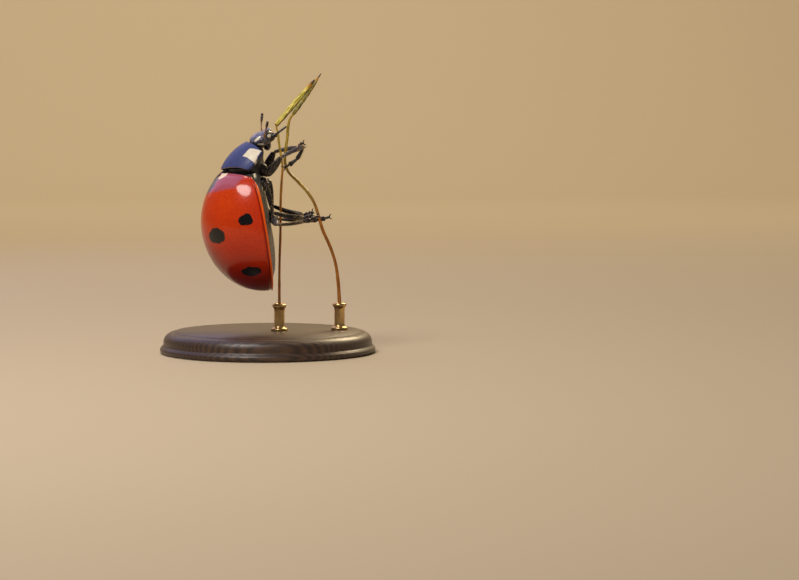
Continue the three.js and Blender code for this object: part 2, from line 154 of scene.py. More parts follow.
def outward(shell):
    """The same closed shell with its faces turned outwards, which a positive volume shows."""
    points, faces, own = shell
    corner = points[np.where(faces < 0, faces[:, :1], faces)]
    volume = np.einsum("ij,ij->i", corner[:, 0], np.cross(corner[:, 1], corner[:, 2])).sum()
    volume += np.einsum("ij,ij->i", corner[:, 0], np.cross(corner[:, 2], corner[:, 3])).sum()
    if volume < 0:
        faces = np.where(faces[:, 3:] < 0, faces[:, [2, 1, 0, 3]], faces[:, ::-1])
    return points, faces, own


def make_piece(name, shells, *finishes, unwrap=None):
    """One mesh object from closed shells, each (points in mm, faces, own places) with a finish's number
    after them if it isn't the first. A face is four corners, or three and -1. The own places go in the
    attribute own, where patterns that follow the surface are drawn. unwrap, where it is given, holds
    each point's place in the UV map OFBake."""
    vertices, faces, own, numbers, start = [], [], [], [], 0
    for shell in shells:
        points, corners, places = outward(shell[:3])
        vertices.append(points)
        faces.append(np.where(corners < 0, -1, corners + start))
        own.append(places)
        numbers.append(np.full(len(corners), shell[3] if len(shell) > 3 else 0))
        start += len(points)
    vertices, faces = np.concatenate(vertices) * MM, np.concatenate(faces)
    used = faces >= 0
    mesh = bpy.data.meshes.new(name)
    mesh.vertices.add(len(vertices))
    mesh.vertices.foreach_set("co", vertices.astype(np.float32).ravel())
    mesh.loops.add(int(used.sum()))
    mesh.loops.foreach_set("vertex_index", faces[used].astype(np.int32))
    mesh.polygons.add(len(faces))
    starts = np.concatenate([[0], np.cumsum(used.sum(1))[:-1]])
    mesh.polygons.foreach_set("loop_start", starts.astype(np.int32))
    mesh.polygons.foreach_set("material_index", np.concatenate(numbers).astype(np.int32))
    mesh.polygons.foreach_set("use_smooth", np.ones(len(faces), bool))
    mesh.attributes.new("own", "FLOAT_VECTOR", "POINT")
    mesh.attributes["own"].data.foreach_set("vector", np.concatenate(own).astype(np.float32).ravel())
    if unwrap is not None:
        mesh.uv_layers.new(name="OFBake")
        mesh.uv_layers["OFBake"].uv.foreach_set("vector", unwrap[faces[used]].astype(np.float32).ravel())
    for finish in finishes:
        mesh.materials.append(finish)
    mesh.update(calc_edges=True)
    piece = bpy.data.objects.new(name, mesh)
    bpy.context.scene.collection.objects.link(piece)
    return piece


def node(kind, inputs, **settings):
    """A shader node of that kind with its settings, in the same tree as the outputs that it is joined
    to: each input is set to a value or joined to an output."""
    tree = next(value for value in inputs.values() if isinstance(value, bpy.types.NodeSocket)).id_data
    made = tree.nodes.new("ShaderNode" + kind)
    for key, value in settings.items():
        setattr(made, key, value)
    for socket, value in inputs.items():
        if isinstance(value, bpy.types.NodeSocket):
            tree.links.new(value, made.inputs[socket])
        else:
            made.inputs[socket].default_value = value
    return made


def calc(operation, first, second=0.0):
    """The Math node's result for one or two numbers, by the name of its operation."""
    return node("Math", {0: first, 1: second}, operation=operation).outputs[0]


plus, minus, times, most = (partial(calc, name) for name in ("ADD", "SUBTRACT", "MULTIPLY", "MAXIMUM"))


def fade(value, start, end):
    """0 on start's side and 1 on end's side of a smooth step."""
    inputs = {"Value": value, "From Min": start, "From Max": end}
    return node("MapRange", inputs, interpolation_type="SMOOTHSTEP").outputs[0]


def paint(share, first, second):
    """A share of the second colour over the first."""
    return node("Mix", {0: share, 6: first, 7: second}, data_type="RGBA").outputs[2]


def cloud(where, scale, detail=2.0):
    """A soft random pattern, about 0.5 on average."""
    return node("TexNoise", {"Vector": where, "Scale": scale, "Detail": detail}).outputs[0]


def cells(where, scale):
    """Distance to the nearest of many scattered points, in cells."""
    return node("TexVoronoi", {"Vector": where, "Scale": scale}).outputs["Distance"]


def split(where):
    """The three parts of a place, and the place with its second part always positive, so that the
    beetle's two sides are marked alike: forwards, across, upwards, all three together."""
    forwards, right, upwards = node("SeparateXYZ", {0: where}).outputs
    across = calc("ABSOLUTE", right)
    both = node("CombineXYZ", {0: forwards, 1: across, 2: upwards}).outputs[0]
    return forwards, across, upwards, both


def spot(where, centre, radii, ragged, grain=3.6):
    """1 inside an ellipsoid about centre, with edges made ragged by noise, and 0 outside."""
    offset = node("VectorMath", {0: where, 1: centre}, operation="SUBTRACT").outputs[0]
    scaled = node("VectorMath", {0: offset, 1: radii}, operation="DIVIDE").outputs[0]
    far = node("VectorMath", {0: scaled}, operation="LENGTH").outputs["Value"]
    uneven = times(cloud(where, grain, 3.0), ragged)
    return fade(plus(far, uneven), 1.05 + ragged / 2, 0.93 + ragged / 2)


def horn(name, roughness, coat=0.0, coat_roughness=0.1, sheen=0.0, sheen_tint=(1, 1, 1, 1), **plain):
    """A material with one Principled shader, for horn and the like. Gives it, its shader, and the
    surface's own place in millimetres, from the attribute own."""
    finish = bpy.data.materials.new(name)
    finish.use_nodes = True
    shader = finish.node_tree.nodes["Principled BSDF"]
    shader.inputs["Roughness"].default_value = roughness
    shader.inputs["Coat Weight"].default_value = coat
    shader.inputs["Coat Roughness"].default_value = coat_roughness
    shader.inputs["Sheen Weight"].default_value = sheen
    shader.inputs["Sheen Tint"].default_value = sheen_tint
    for socket, value in plain.items():
        shader.inputs[socket.replace("_", " ")].default_value = value
    place = finish.node_tree.nodes.new("ShaderNodeAttribute")
    place.attribute_name = "own"
    return finish, shader, place.outputs["Vector"]


def dress(shader, colour, height, depth):
    """Joins a colour to a shader, and a height from 0 to 1 as a bump of that depth in millimetres."""
    links = shader.id_data.links
    links.new(colour, shader.inputs["Base Color"])
    bump = node("Bump", {"Height": height, "Distance": depth * MM, "Strength": 1.0})
    links.new(bump.outputs[0], shader.inputs["Normal"])


def rim_lean(turn):
    """The lean at which the dome meets the rim, whose height varies along the beetle."""
    height = through(RIM_AT, RIM_HEIGHT, np.clip(DOME_CENTRE[0] + DOME_RADII[0] * np.sin(turn), -3, 2.55))
    return np.arccos(np.clip(height / (DOME_RADII[2] * np.cos(turn)), -1, 1))


def dome(turn, lean):
    """Points of an ellipsoid whose axis lies along the beetle, and the normals there. turn goes forwards
    from its widest ring, and lean goes from the midline of the back down the side."""
    ring = np.cos(turn)
    unit = np.stack([np.sin(turn), ring * np.sin(lean), ring * np.cos(lean)], -1)
    normal = unit / DOME_RADII
    return DOME_CENTRE + unit * DOME_RADII, normal / np.linalg.norm(normal, axis=-1, keepdims=True)


def front_turn(share):
    """The turn of the front edge in each column, found by halving its bounds forty times."""
    low, high = np.full(share.shape, 0.3), np.full(share.shape, 1.5)
    for _ in range(40):
        middle = (low + high) / 2
        point = dome(middle, share * rim_lean(middle))[0]
        outside = (((point - SHOULDER_CENTRE) / SHOULDER_RADII) ** 2).sum(-1) > 1
        low, high = np.where(outside, low, middle), np.where(outside, middle, high)
    return low


def over_dome(share, down):
    """Places over one side of the dome: share goes from the seam down to the rim, and down goes from the
    front edge back to the tail. Gives the front edge's turn, and each place's turn, its lean, and the
    leans of the seam and of the rim beside it."""
    front = front_turn(share)
    turn = front + (TAIL_TURN - front) * down
    seam = np.arcsin(SEAM / (DOME_RADII[1] * np.cos(turn)))
    lowest = rim_lean(turn)
    return front, turn, seam + (lowest - seam) * share, seam, lowest


def wing_case(side, outer=120, flange=12, rows=150):
    """One wing case as thin loops from the front edge to the tail. Each loop goes from the seam over
    the dome to the rim, in along the flange, and back up the inside. side is 1 on the right."""
    down = crowded(rows)[:, None]
    front, turn, lean, seam, lowest = over_dome(crowded(outer)[None], down)
    points, normal = dome(turn, lean)
    ring = np.cos(turn)
    to_rim = (lowest - lean) * ring * MEAN_GIRTH
    to_front = (front - turn) * MEAN_LENGTH
    shoulder = np.linalg.norm(points - SWELLING, axis=-1)
    rise = 0.035 * bell(to_rim - 0.045, 0.04) - 0.04 * bell(to_rim - 0.13, 0.045)
    rise += 0.05 * bell(shoulder, 0.42) - 0.03 * bell(to_front - 0.16, 0.09)
    rise -= edge_drop(to_rim, 0.05) + edge_drop(to_front, 0.07)
    rise -= edge_drop((lean - seam) * ring * MEAN_GIRTH, 0.03)
    skin = points + normal * rise[..., None]

    share = np.concatenate([np.ones(flange // 2), crowded(outer + flange - flange // 2)[::-1]])[None]
    turn, lean = over_dome(share, down)[1:3]
    inside, normal = dome(turn, lean)
    width = np.minimum(FLANGE, 0.3 * DOME_RADII[1] * np.cos(turn)) * smooth(down, -0.1, 0.12)
    wall = np.minimum(CASE_WALL, 0.2 * DOME_RADII[1] * np.cos(turn))
    depth = wall + np.maximum(width - wall, 0) * smooth(share, 0.9, 1)
    inside = inside - normal * depth[..., None]

    q = (np.arange(1, flange + 1) / (flange + 1))[None, :, None]
    ledge = skin[:, -1:] * (1 - q) + inside[:, :1] * q
    ledge[..., 2] += 0.2 * width[:, :1] * 4 * q[..., 0] * (1 - q[..., 0])
    loops = np.concatenate([skin, ledge, inside], 1) * [1, side, 1]
    return zipped(stand_up(loops), loops)


def wing_case_finish():
    """Orange-red horn. Painted shade makes it darker and redder towards the tail and near the seam at the
    rear, and a painted violet reflection of the sky lies over the front. It has black spots, a black
    patch painted slate as a sky reflection and two cream ones behind the shield, a painted highlight
    along the rim over painted shade in its groove, and fine pits."""
    finish, shader, where = horn("wing_case_horn", 0.3, coat=0.65, Specular_IOR_Level=0.1)
    forwards, across, upwards, both = split(where)
    # Painted shade: darker and redder towards the tail, the lowest part of the standing beetle.
    tail_shade = fade(forwards, 1.9, -2.6)
    colour = paint(tail_shade, (0.68, 0.058, 0.0006, 1), (0.3, 0.006, 0.0006, 1))
    colour = paint(fade(upwards, 1.2, 0.0), colour, (0.62, 0.038, 0.0006, 1))
    # Painted shade: near-black at the end of the tail.
    colour = paint(fade(forwards, -0.8, -2.5), colour, (0.035, 0.0015, 0.0006, 1))
    # Painted shade: darker near the seam over the rear of the cases.
    seam_shade = times(fade(forwards, 0.9, -1.3), fade(across, 1.9, 0.6))
    colour = paint(times(seam_shade, 0.7), colour, (0.1, 0.004, 0.0006, 1))
    mottle = times(cloud(where, 1.6, 4.0), 0.5)
    colour = paint(mottle, colour, (0.42, 0.012, 0.0006, 1))
    grain = fade(cloud(where, 16.0, 3.0), 0.42, 0.62)
    colour = paint(times(grain, 0.3), colour, (0.22, 0.006, 0.0006, 1))
    # Painted reflection: a violet glow of the sky over the front of the cases, its edge drawn back low on
    # the sides.
    low = most(minus(0.85, upwards), 0.0)
    ahead = minus(forwards, times(low, 0.8))
    ahead = plus(ahead, times(cloud(where, 5.0, 4.0), 0.2))
    sky_reflection = times(fade(ahead, 2.27, 2.41), 0.62)
    colour = paint(sky_reflection, colour, (0.3, 0.1, 0.18, 1))
    rim_line = minus(times(calc("POWER", minus(forwards, 0.8), 2.0), 0.0175), 0.235)
    over = minus(upwards, rim_line)
    # Painted highlight: bright orange along the rim.
    colour = paint(fade(over, 0.12, 0.07), colour, (0.8, 0.11, 0.003, 1))
    # Painted shade: dark in the groove just inside the rim.
    groove = times(fade(over, 0.1, 0.13), fade(over, 0.19, 0.15))
    groove = times(groove, fade(forwards, 2.3, 2.1))
    colour = paint(times(groove, 0.8), colour, (0.12, 0.003, 0.0006, 1))
    cream = spot(both, (2.9, 0.72, 1.25), (0.22, 0.25, 0.3), 0.4)
    colour = paint(cream, colour, (0.9, 0.72, 0.45, 1))
    # The black scutellar spot is painted slate as a reflection of the sky.
    black, sky_sheen = (0.004, 0.0035, 0.004, 1), (0.085, 0.085, 0.12, 1)
    spots = [
        ((0.74, 2.5, 0.66), (0.27, 0.4, 0.33), black),
        ((0.25, 1.65, 2.09), (0.36, 0.62, 0.5), black),
        ((-1.64, 1.85, 0.86), (0.26, 0.42, 0.47), black),
        ((2.56, 0.0, 1.85), (0.5, 0.84, 0.6), sky_sheen),
    ]
    for centre, radii, tint in spots:
        colour = paint(spot(both, centre, radii, 0.7), colour, tint)
    colour = paint(fade(across, 0.035, 0.012), colour, (0.09, 0.008, 0.003, 1))
    pits = fade(cells(where, 12.0), 0.06, 0.26)
    dress(shader, colour, plus(pits, times(cloud(where, 26.0, 3.0), 0.8)), 0.0018)
    return finish


case_horn = wing_case_finish()
for side_name, side in (("right", 1), ("left", -1)):
    case = make_piece("wing_case_" + side_name, [wing_case(side)], case_horn)
    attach(case, "root")
    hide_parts("elytron_" + side_name)

# ---- Scutellum ----------------------------------------------------------------------------------
# The scutellum is a small black triangle of horn between the front ends of the wing cases. It is a
# plate of the thorax, and lies a hair's breadth proud of the seam.

SCUTELLUM_FRONT, SCUTELLUM_REAR, SCUTELLUM_HALF = 3.18, 2.52, 0.36


def black_horn(name, roughness, tint, scale=22.0, depth=0.002, **more):
    """Black horn with a tint, which where it is pale is a painted sheen of the sky, and fine pits of that
    scale and depth.
    """
    finish, shader, where = horn(name, roughness, **more)
    dull = tuple(0.35 * part for part in tint[:3]) + (1,)
    colour = paint(cloud(where, 2.4, 4.0), tint, dull)
    pits = fade(cells(where, scale), 0.1, 0.5)
    dress(shader, colour, plus(pits, times(cloud(where, 45.0), 0.5)), depth)
    return finish


def scutellum(across=24, along=20):
    """A thin triangle that follows the dome: its half-width falls to nothing at the rear, and it swells
    a little along its middle."""
    back = crowded(along)[:, None]
    side = crowded(across)[None] * 2 - 1
    forwards = SCUTELLUM_FRONT + (SCUTELLUM_REAR - SCUTELLUM_FRONT) * back + 0 * side
    right = side * SCUTELLUM_HALF * (1.02 - back) ** 0.8
    fall = ((forwards - DOME_CENTRE[0]) / DOME_RADII[0]) ** 2 + (right / DOME_RADII[1]) ** 2
    height = DOME_RADII[2] * np.sqrt(1 - fall)
    proud = 0.03 - 0.035 * smooth(back, 0.4, 1)
    top = np.stack([forwards, right, height + proud - edge_drop(1 - abs(side), 0.12) * 0.4], -1)
    under = top - [0.05, 0, 0.1]
    under[..., 2] -= 0.32 * smooth(-back, -0.45, -0.1)
    loops = np.concatenate([top, under[:, ::-1]], 1)
    return zipped(stand_up(loops), loops)


scutellum_horn = black_horn("scutellum_horn", 0.34, (0.07, 0.055, 0.07, 1))
scutellum_plate = make_piece("scutellum_plate", [scutellum()], scutellum_horn)
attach(scutellum_plate, "root")
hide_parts("scutellum")

# ---- Neck shield --------------------------------------------------------------------------------
# The shield over the neck is one curved plate of black horn with a painted blue sheen of the sky. It
# has a raised rim at each side, an ivory patch in each front corner and a painted highlight along the
# back edge.

SHIELD_CENTRE = np.array([1.78, 0.0, -0.8])
SHIELD_RADIUS, SHIELD_HALF, SHIELD_WALL = 2.49, 1.9, 0.17
REAR_ANGLES, FRONT_ANGLES = (56.5, 39), (14.5, 2)  # above the beetle's axis, midline and corner
REAR_CORNER, FRONT_CORNER, SIDE_BULGE = 1.54, 1.3, 0.1


def shield_plate(columns=150, rows=90):
    """A patch of a sphere drawn in at the sides: the angle over the neck runs from the front edge to
    the rear edge, both curved, and the half-width grows towards the rear. The inside is the same patch
    with a smaller radius."""
    side = crowded(columns)[None] * 2 - 1
    back = crowded(rows)[:, None]
    corner = side * side
    rear = REAR_ANGLES[0] + (REAR_ANGLES[1] - REAR_ANGLES[0]) * corner
    front = FRONT_ANGLES[0] + (FRONT_ANGLES[1] - FRONT_ANGLES[0]) * corner
    angle = np.radians(front + (rear - front) * back)
    edge = FRONT_CORNER + (REAR_CORNER - FRONT_CORNER) * back + SIDE_BULGE * 4 * back * (1 - back)
    share = side * edge / SHIELD_HALF
    reach = np.sqrt(1 - share * share)
    unit = np.stack([reach * np.cos(angle), share + 0 * angle, reach * np.sin(angle)], -1)
    to_side = (1 - abs(side)) * edge
    to_end = np.minimum(back, 1 - back) * np.radians(rear - front) * SHIELD_RADIUS
    rise = 0.022 * bell(to_side - 0.04, 0.035) - 0.02 * bell(to_side - 0.12, 0.05)
    rise = rise - edge_drop(to_side, 0.05) - edge_drop(to_end, 0.05)
    narrowing = [1, SHIELD_HALF / SHIELD_RADIUS, 1]
    outer = (SHIELD_RADIUS + rise)[..., None] * unit * narrowing
    inner = (SHIELD_RADIUS - SHIELD_WALL) * unit * narrowing
    own = np.stack([angle * SHIELD_RADIUS, unit[..., 1] * SHIELD_HALF, back + 0 * side], -1)
    loops = np.concatenate([outer, inner[:, ::-1]], 1) + SHIELD_CENTRE
    return zipped(stand_up(loops), np.concatenate([own, own[:, ::-1]], 1))


def shield_finish():
    """Black horn painted blue as a reflection of the sky, with a painted pale highlight along the back
    edge.
    The ivory patch lies inside four edges, each a straight line across the plate between two of its
    corners, given as distance up the arc and across from the midline."""
    looks = {"coat": 0.1, "coat_roughness": 0.26, "Specular_IOR_Level": 0.25}
    finish, shader, where = horn("shield_horn", 0.45, **looks)
    up, right, back = node("SeparateXYZ", {0: where}).outputs
    across = calc("ABSOLUTE", right)
    # Painted reflection: the black horn is painted blue where it would mirror the sky.
    colour = paint(cloud(where, 1.5, 4.0), (0.06, 0.078, 0.23, 1), (0.033, 0.044, 0.15, 1))
    corners = [(0.7, 0.97), (0.14, 1.27), (0.9, 1.55), (1.23, 1.1)]
    inside = None
    for (up_a, across_a), (up_b, across_b) in zip(corners, corners[1:] + corners[:1]):
        long = math.hypot(up_b - up_a, across_b - across_a)
        away_up, away_across = (across_a - across_b) / long, (up_b - up_a) / long
        level = away_up * up_a + away_across * across_a
        distance = minus(plus(times(up, away_up), times(across, away_across)), level)
        inside = distance if inside is None else most(inside, distance)
    uneven = times(cloud(where, 6.0), 0.06)
    ivory = fade(plus(inside, uneven), 0.05, 0.02)
    shade = paint(cloud(where, 4.0, 3.0), (0.86, 0.8, 0.66, 1), (0.7, 0.6, 0.42, 1))
    colour = paint(ivory, colour, shade)
    # Painted highlight: a thin pale line along the back edge.
    edge_highlight = fade(back, 0.986, 0.992)
    colour = paint(times(edge_highlight, 0.7), colour, (0.5, 0.34, 0.18, 1))
    colour = paint(fade(back, 0.9965, 0.9985), colour, (0.006, 0.006, 0.01, 1))
    grain = fade(cloud(where, 20.0, 3.0), 0.44, 0.62)
    dark = paint(minus(0.35, times(ivory, 0.3)), colour, (0.01, 0.014, 0.05, 1))
    colour = paint(grain, colour, dark)
    pits = fade(cells(where, 17.0), 0.06, 0.28)
    dress(shader, colour, plus(pits, times(cloud(where, 40.0), 0.6)), 0.0012)
    return finish


shield = make_piece("neck_shield", [shield_plate()], shield_finish())
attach(shield, "root")
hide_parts("pronotum")

# ---- Thorax and belly ---------------------------------------------------------------------------
# The underside is a row of hard black plates, each lapped over the front of the next: the neck's
# plate, two plates that carry the middle and hind legs, and five belly rings.

TRUNK_REAR, TRUNK_FRONT, TRUNK_HALF, TRUNK_TOP = 2.54, 3.3, 2.3, 2.1
BELLY, CHEST = 0.5, 0.68
CUTS = [2.64, 1.95, 0.3, -0.5, -1.05, -1.5, -1.9, -2.2]  # where each plate ends and the next begins
PLATE_NODES = ["mesothorax", "metathorax"] + [f"abdomen_ring_{number}" for number in range(1, 6)]
LAP = 0.06  # how far a plate reaches under the one before it
CHEST_REAR = 1  # the plates that begin in front of this have a line down the middle


def trunk_ring(forwards, round_share):
    """Points of the trunk, an egg with a flattened belly, at a distance forwards and a share of the
    way round."""
    reach = forwards - DOME_CENTRE[0]
    x = reach / np.where(reach > 0, TRUNK_FRONT, TRUNK_REAR)
    ring = np.sqrt(np.clip(1 - x * x, 0.0004, 1))
    right = np.sin(2 * np.pi * round_share)
    up = np.cos(2 * np.pi * round_share)
    depth = np.where(up > 0, TRUNK_TOP, BELLY + (CHEST - BELLY) * np.clip(x, 0, 1))
    return np.stack([forwards + 0 * right, TRUNK_HALF * ring * right, depth * ring * up], -1)


def trunk_plate(front, rear, around=160, along=26):
    """A closed ring of the trunk whose rear edge stands proud and whose front is tucked in under the
    plate before it. The rear edge bows, and a line runs down the middle of the chest."""
    share = crowded(along)[:, None]
    turn = np.linspace(0, 1, around, endpoint=False)[None]
    forwards = front + LAP + (rear - front - LAP) * share
    ring = trunk_ring(forwards, turn)
    across = ring[..., 1] / TRUNK_HALF
    long = abs(front - rear)
    bow = 0.1 * (1 - across * across) * share * min(1, long)
    swell = -0.05 + 0.05 * smooth(share, 0, 0.35) + 0.02 * share
    swell = swell - edge_drop((1 - share) * long, 0.05) * 1.4 - edge_drop(share * (long + LAP), 0.04)
    if front > CHEST_REAR:
        swell = swell - 0.04 * bell(ring[..., 1], 0.05)
    hub = ring * [1, 0, 0]
    spoke = ring - hub
    length = np.linalg.norm(spoke, axis=-1, keepdims=True)
    points = hub + spoke * (1 + swell[..., None] / np.maximum(length, 0.05))
    points[..., 0] -= bow
    points = np.concatenate([points[:1] * [1, 0.8, 0.8], points, points[-1:] * [1, 0.8, 0.8]])
    return wrapped(stand_up(points), points)


def underside_finish():
    """Black horn with fine pits, ash-brown with short down at the sides of the belly, and an ivory
    patch at each side behind the front legs."""
    finish, shader, where = horn("underside_horn", 0.36, sheen=0.1, sheen_tint=(0.8, 0.8, 0.9, 1))
    forwards, across, _, both = split(where)
    colour = paint(cloud(where, 2.2, 4.0), (0.004, 0.004, 0.005, 1), (0.012, 0.011, 0.012, 1))
    ash = times(fade(across, 1.1, 1.9), fade(forwards, 0.6, -0.3))
    downy = paint(cloud(where, 9.0, 3.0), (0.2, 0.165, 0.13, 1), (0.07, 0.058, 0.05, 1))
    colour = paint(ash, colour, downy)
    pale = spot(both, (1.9, 1.25, -0.55), (0.22, 0.26, 0.2), 0.3)
    colour = paint(pale, colour, (0.72, 0.66, 0.52, 1))
    pits = fade(cells(where, 16.0), 0.05, 0.3)
    dress(shader, colour, plus(pits, times(cloud(where, 34.0), 0.8)), 0.0022)
    return finish


underside_horn = underside_finish()
for plate_node, front, rear in zip(PLATE_NODES, CUTS, CUTS[1:]):
    plate = make_piece("plate_" + plate_node, [trunk_plate(front, rear)], underside_horn)
    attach(plate, "root")
    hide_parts(plate_node)

NECK_CENTRE, NECK_RADII = np.array([3.12, 0.0, 0.02]), np.array([1.05, 1.22, 0.98])


def once_round(count):
    """That many angles, evenly spaced round a circle from 0, in radians."""
    return np.linspace(0, 2 * np.pi, count, endpoint=False)


def neck_plate(around=120, along=70):
    """An egg drawn in to lie under the shield: a point that would stand out of the shield's inside is
    brought back onto it along the line to the shield's centre."""
    turn = once_round(around)[None]
    lean = np.pi * crowded(along)[1:-1, None]
    ring = np.sin(lean)
    unit = np.stack([np.cos(lean) + 0 * turn, ring * np.sin(turn), ring * np.cos(turn)], -1)
    points = NECK_CENTRE + unit * NECK_RADII
    limit = np.array([SHIELD_RADIUS, SHIELD_HALF, SHIELD_RADIUS]) - SHIELD_WALL - 0.01
    far = np.linalg.norm((points - SHIELD_CENTRE) / limit, axis=-1, keepdims=True)
    points = SHIELD_CENTRE + (points - SHIELD_CENTRE) / np.maximum(far, 1)
    shallow = 0.74 + 0.26 * smooth(points[..., 0], 3.2, 3.8)
    points[..., 2] *= np.where(points[..., 2] < 0, shallow, 1)
    keel = bell(points[..., 1], 0.16) * smooth(-points[..., 2], 0.3, 0.7)
    points[..., 2] -= 0.05 * keel
    return wrapped(stand_up(points), points)


neck = make_piece("neck_plate", [neck_plate()], underside_horn)
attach(neck, "root")
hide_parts("prothorax")

# ---- Head ---------------------------------------------------------------------------------------
# The head is a wide capsule of black horn, painted slate-grey as a sheen of the sky, set into the shield
# and nodded forwards. An ivory bar lies before each eye with a painted highlight behind it, and a fine
# line parts the brow from the lip plate over the mouth.

HEAD_CENTRE = np.array([4.18, 0.0, -0.8])
HEAD_RADII = np.array([0.44, 0.78, 0.66])
FACE, BROW = 0.36, 0.52  # the face and the brow are flatter than the back and the lower half
THROAT = np.array([3.88, 0.0, -1.04]), np.array([0.3, 0.36, 0.2])
NOD = math.radians(11.5)
HEAD_FORWARD = np.array([math.cos(NOD), 0.0, math.sin(NOD)])
HEAD_UP = np.array([-math.sin(NOD), 0.0, math.cos(NOD)])
HEAD_AXES = np.stack([HEAD_FORWARD, [0.0, 1.0, 0.0], HEAD_UP])


def from_head(points):
    """Places in the head's frame (out of its face, to the right, up to the brow) in the beetle's."""
    return HEAD_CENTRE + points @ HEAD_AXES


def globe(around, along):
    """Directions over a sphere whose poles lie to the left and right: rows by columns by three."""
    turn = once_round(around)[None]
    lean = np.pi * crowded(along, 0.5)[1:-1, None]
    ring = np.sin(lean)
    return np.stack([ring * np.cos(turn), np.cos(lean) + 0 * turn, ring * np.sin(turn)], -1)


def skull(around=144, along=100):
    """An egg with a flatter face. The lip plate below swells forwards, with a groove above it, and the
    face sinks a little between the eyes."""
    unit = globe(around, along)
    points = unit * HEAD_RADII
    out, right, up = np.moveaxis(unit, -1, 0)
    points[..., 0] *= np.where(out > 0, FACE / HEAD_RADII[0], 1)
    points[..., 2] *= np.where(up > 0, BROW / HEAD_RADII[2], 1)
    face = smooth(out, 0.1, 0.8)
    flat = 1 - 0.07 * face * bell(right, 0.6)
    plate = 0.1 * face * bell(right, 0.55) * smooth(-up, 0.3, 0.75)
    groove = 0.022 * face * bell(right, 0.6) * bell(up + 0.38 - 0.25 * right * right, 0.045)
    dent = 0.03 * face * bell(abs(right) - 0.38, 0.12) * bell(up - 0.1, 0.35)
    points[..., 0] = points[..., 0] * flat + (plate - groove - dent)
    placed = from_head(points)
    return wrapped(stand_up(placed), points)


HEAD_BAR_AND_HIGHLIGHT = [  # a pale bar before the eye and a painted highlight behind it: the centre, half the length and width, and the turn
    ((0.045, 0.68, 0.15), 0.19, 0.058, -72),
    # A painted highlight: the thin pale bar behind the eye.
    ((-0.235, 0.68, 0.09), 0.17, 0.04, 68),
]


def head_finish():
    """Black horn painted with a patchy slate-blue reflection of the sky and a lilac one in front, left
    black behind and below, with an ivory bar before each eye, a thin painted highlight behind it and a
    ragged spot on the cheek."""
    finish, shader, where = horn("head_horn", 0.36, coat=0.4, coat_roughness=0.14)
    forwards, _, upwards, both = split(where)
    # Painted reflection: patches of slate-blue sky sheen over the black horn.
    patchy_sheen = fade(cloud(where, 6.0, 5.0), 0.36, 0.66)
    colour = paint(patchy_sheen, (0.2, 0.2, 0.3, 1), (0.035, 0.035, 0.065, 1))
    # Behind and below, the horn is left black, without the painted sheen.
    colour = paint(fade(forwards, -0.12, -0.3), colour, (0.006, 0.006, 0.008, 1))
    colour = paint(fade(upwards, -0.1, -0.38), colour, (0.006, 0.006, 0.008, 1))
    # Painted reflection: lilac sky sheen over the face.
    lilac_reflection = paint(patchy_sheen, (0.3, 0.27, 0.37, 1), (0.04, 0.035, 0.05, 1))
    colour = paint(fade(forwards, 0.2, 0.3), colour, lilac_reflection)
    ivory = spot(both, (-0.03, 0.6, -0.4), (0.08, 0.2, 0.11), 0.5, grain=13)
    for centre, half, wide, angle in HEAD_BAR_AND_HIGHLIGHT:
        inputs = {"Vector": both, "Center": centre, "Axis": (0, 1, 0), "Angle": math.radians(angle)}
        slanted = node("VectorRotate", inputs, rotation_type="AXIS_ANGLE").outputs[0]
        # ivory here also takes in the painted highlight behind the eye.
        ivory = most(ivory, spot(slanted, centre, (half, 0.3, wide), 0.5, grain=12))
    colour = paint(ivory, colour, (0.85, 0.8, 0.68, 1))
    pits = fade(cells(where, 20.0), 0.06, 0.3)
    dress(shader, colour, plus(pits, cloud(where, 22.0, 4.0)), 0.006)
    return finish


head_horn = head_finish()
throat_unit = globe(60, 40)
throat = wrapped(stand_up(THROAT[0] + throat_unit * THROAT[1]), throat_unit * 0.1 - [1, 0, 0])
head = make_piece("head_capsule", [skull(), throat], head_horn)
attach(head, "root")
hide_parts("head")

# ---- Eyes ---------------------------------------------------------------------------------------
# Each eye is a bulging oval of hundreds of tiny black facets under a clear cover, painted slate-grey as
# a reflection of the sky. It is let into the side of the head, and drawn in a little where the feeler's
# root lies before it.

EYE_CENTRE = np.array([-0.075, 0.62, -0.01])  # in the head's own frame
EYE_RADII = np.array([0.15, 0.19, 0.18])


def eye_ball(side, around=96, along=60):
    """An oval cut in where the feeler's root lies before it, as on the real, kidney-shaped eye."""
    unit = globe(around, along)
    points = unit * EYE_RADII
    notch = bell(np.linalg.norm(unit - [0.75, 0.35, -0.6], axis=-1), 0.42)
    points = points * (1 - 0.16 * notch[..., None])
    placed = from_head((points + EYE_CENTRE) * [1, side, 1])
    return wrapped(stand_up(placed), points)


def eye_finish():
    """Black facets painted slate-grey as a reflection of the sky, under a clear cover."""
    finish, shader, where = horn("eye_facets", 0.2, coat=0.8, coat_roughness=0.06)
    facet = cells(where, 42.0)
    # Painted reflection: the facets' slate-grey stands for the sky seen in them.
    colour = paint(fade(facet, 0.2, 0.8), (0.07, 0.075, 0.11, 1), (0.02, 0.022, 0.034, 1))
    dress(shader, colour, fade(facet, 0.8, 0.0), 0.0012)
    return finish


eye_facets = eye_finish()
for side_name, side in (("right", 1), ("left", -1)):
    eye = make_piece("eye_ball_" + side_name, [eye_ball(side)], eye_facets)
    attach(eye, "root")
    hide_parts("eye_" + side_name)

# ---- Mouth --------------------------------------------------------------------------------------
# Below the face hang the upper lip, a hard curved jaw at each side with a pale root, and the jointed
# palps with which the beetle tastes what it climbs on. The palps taper from a stout root.

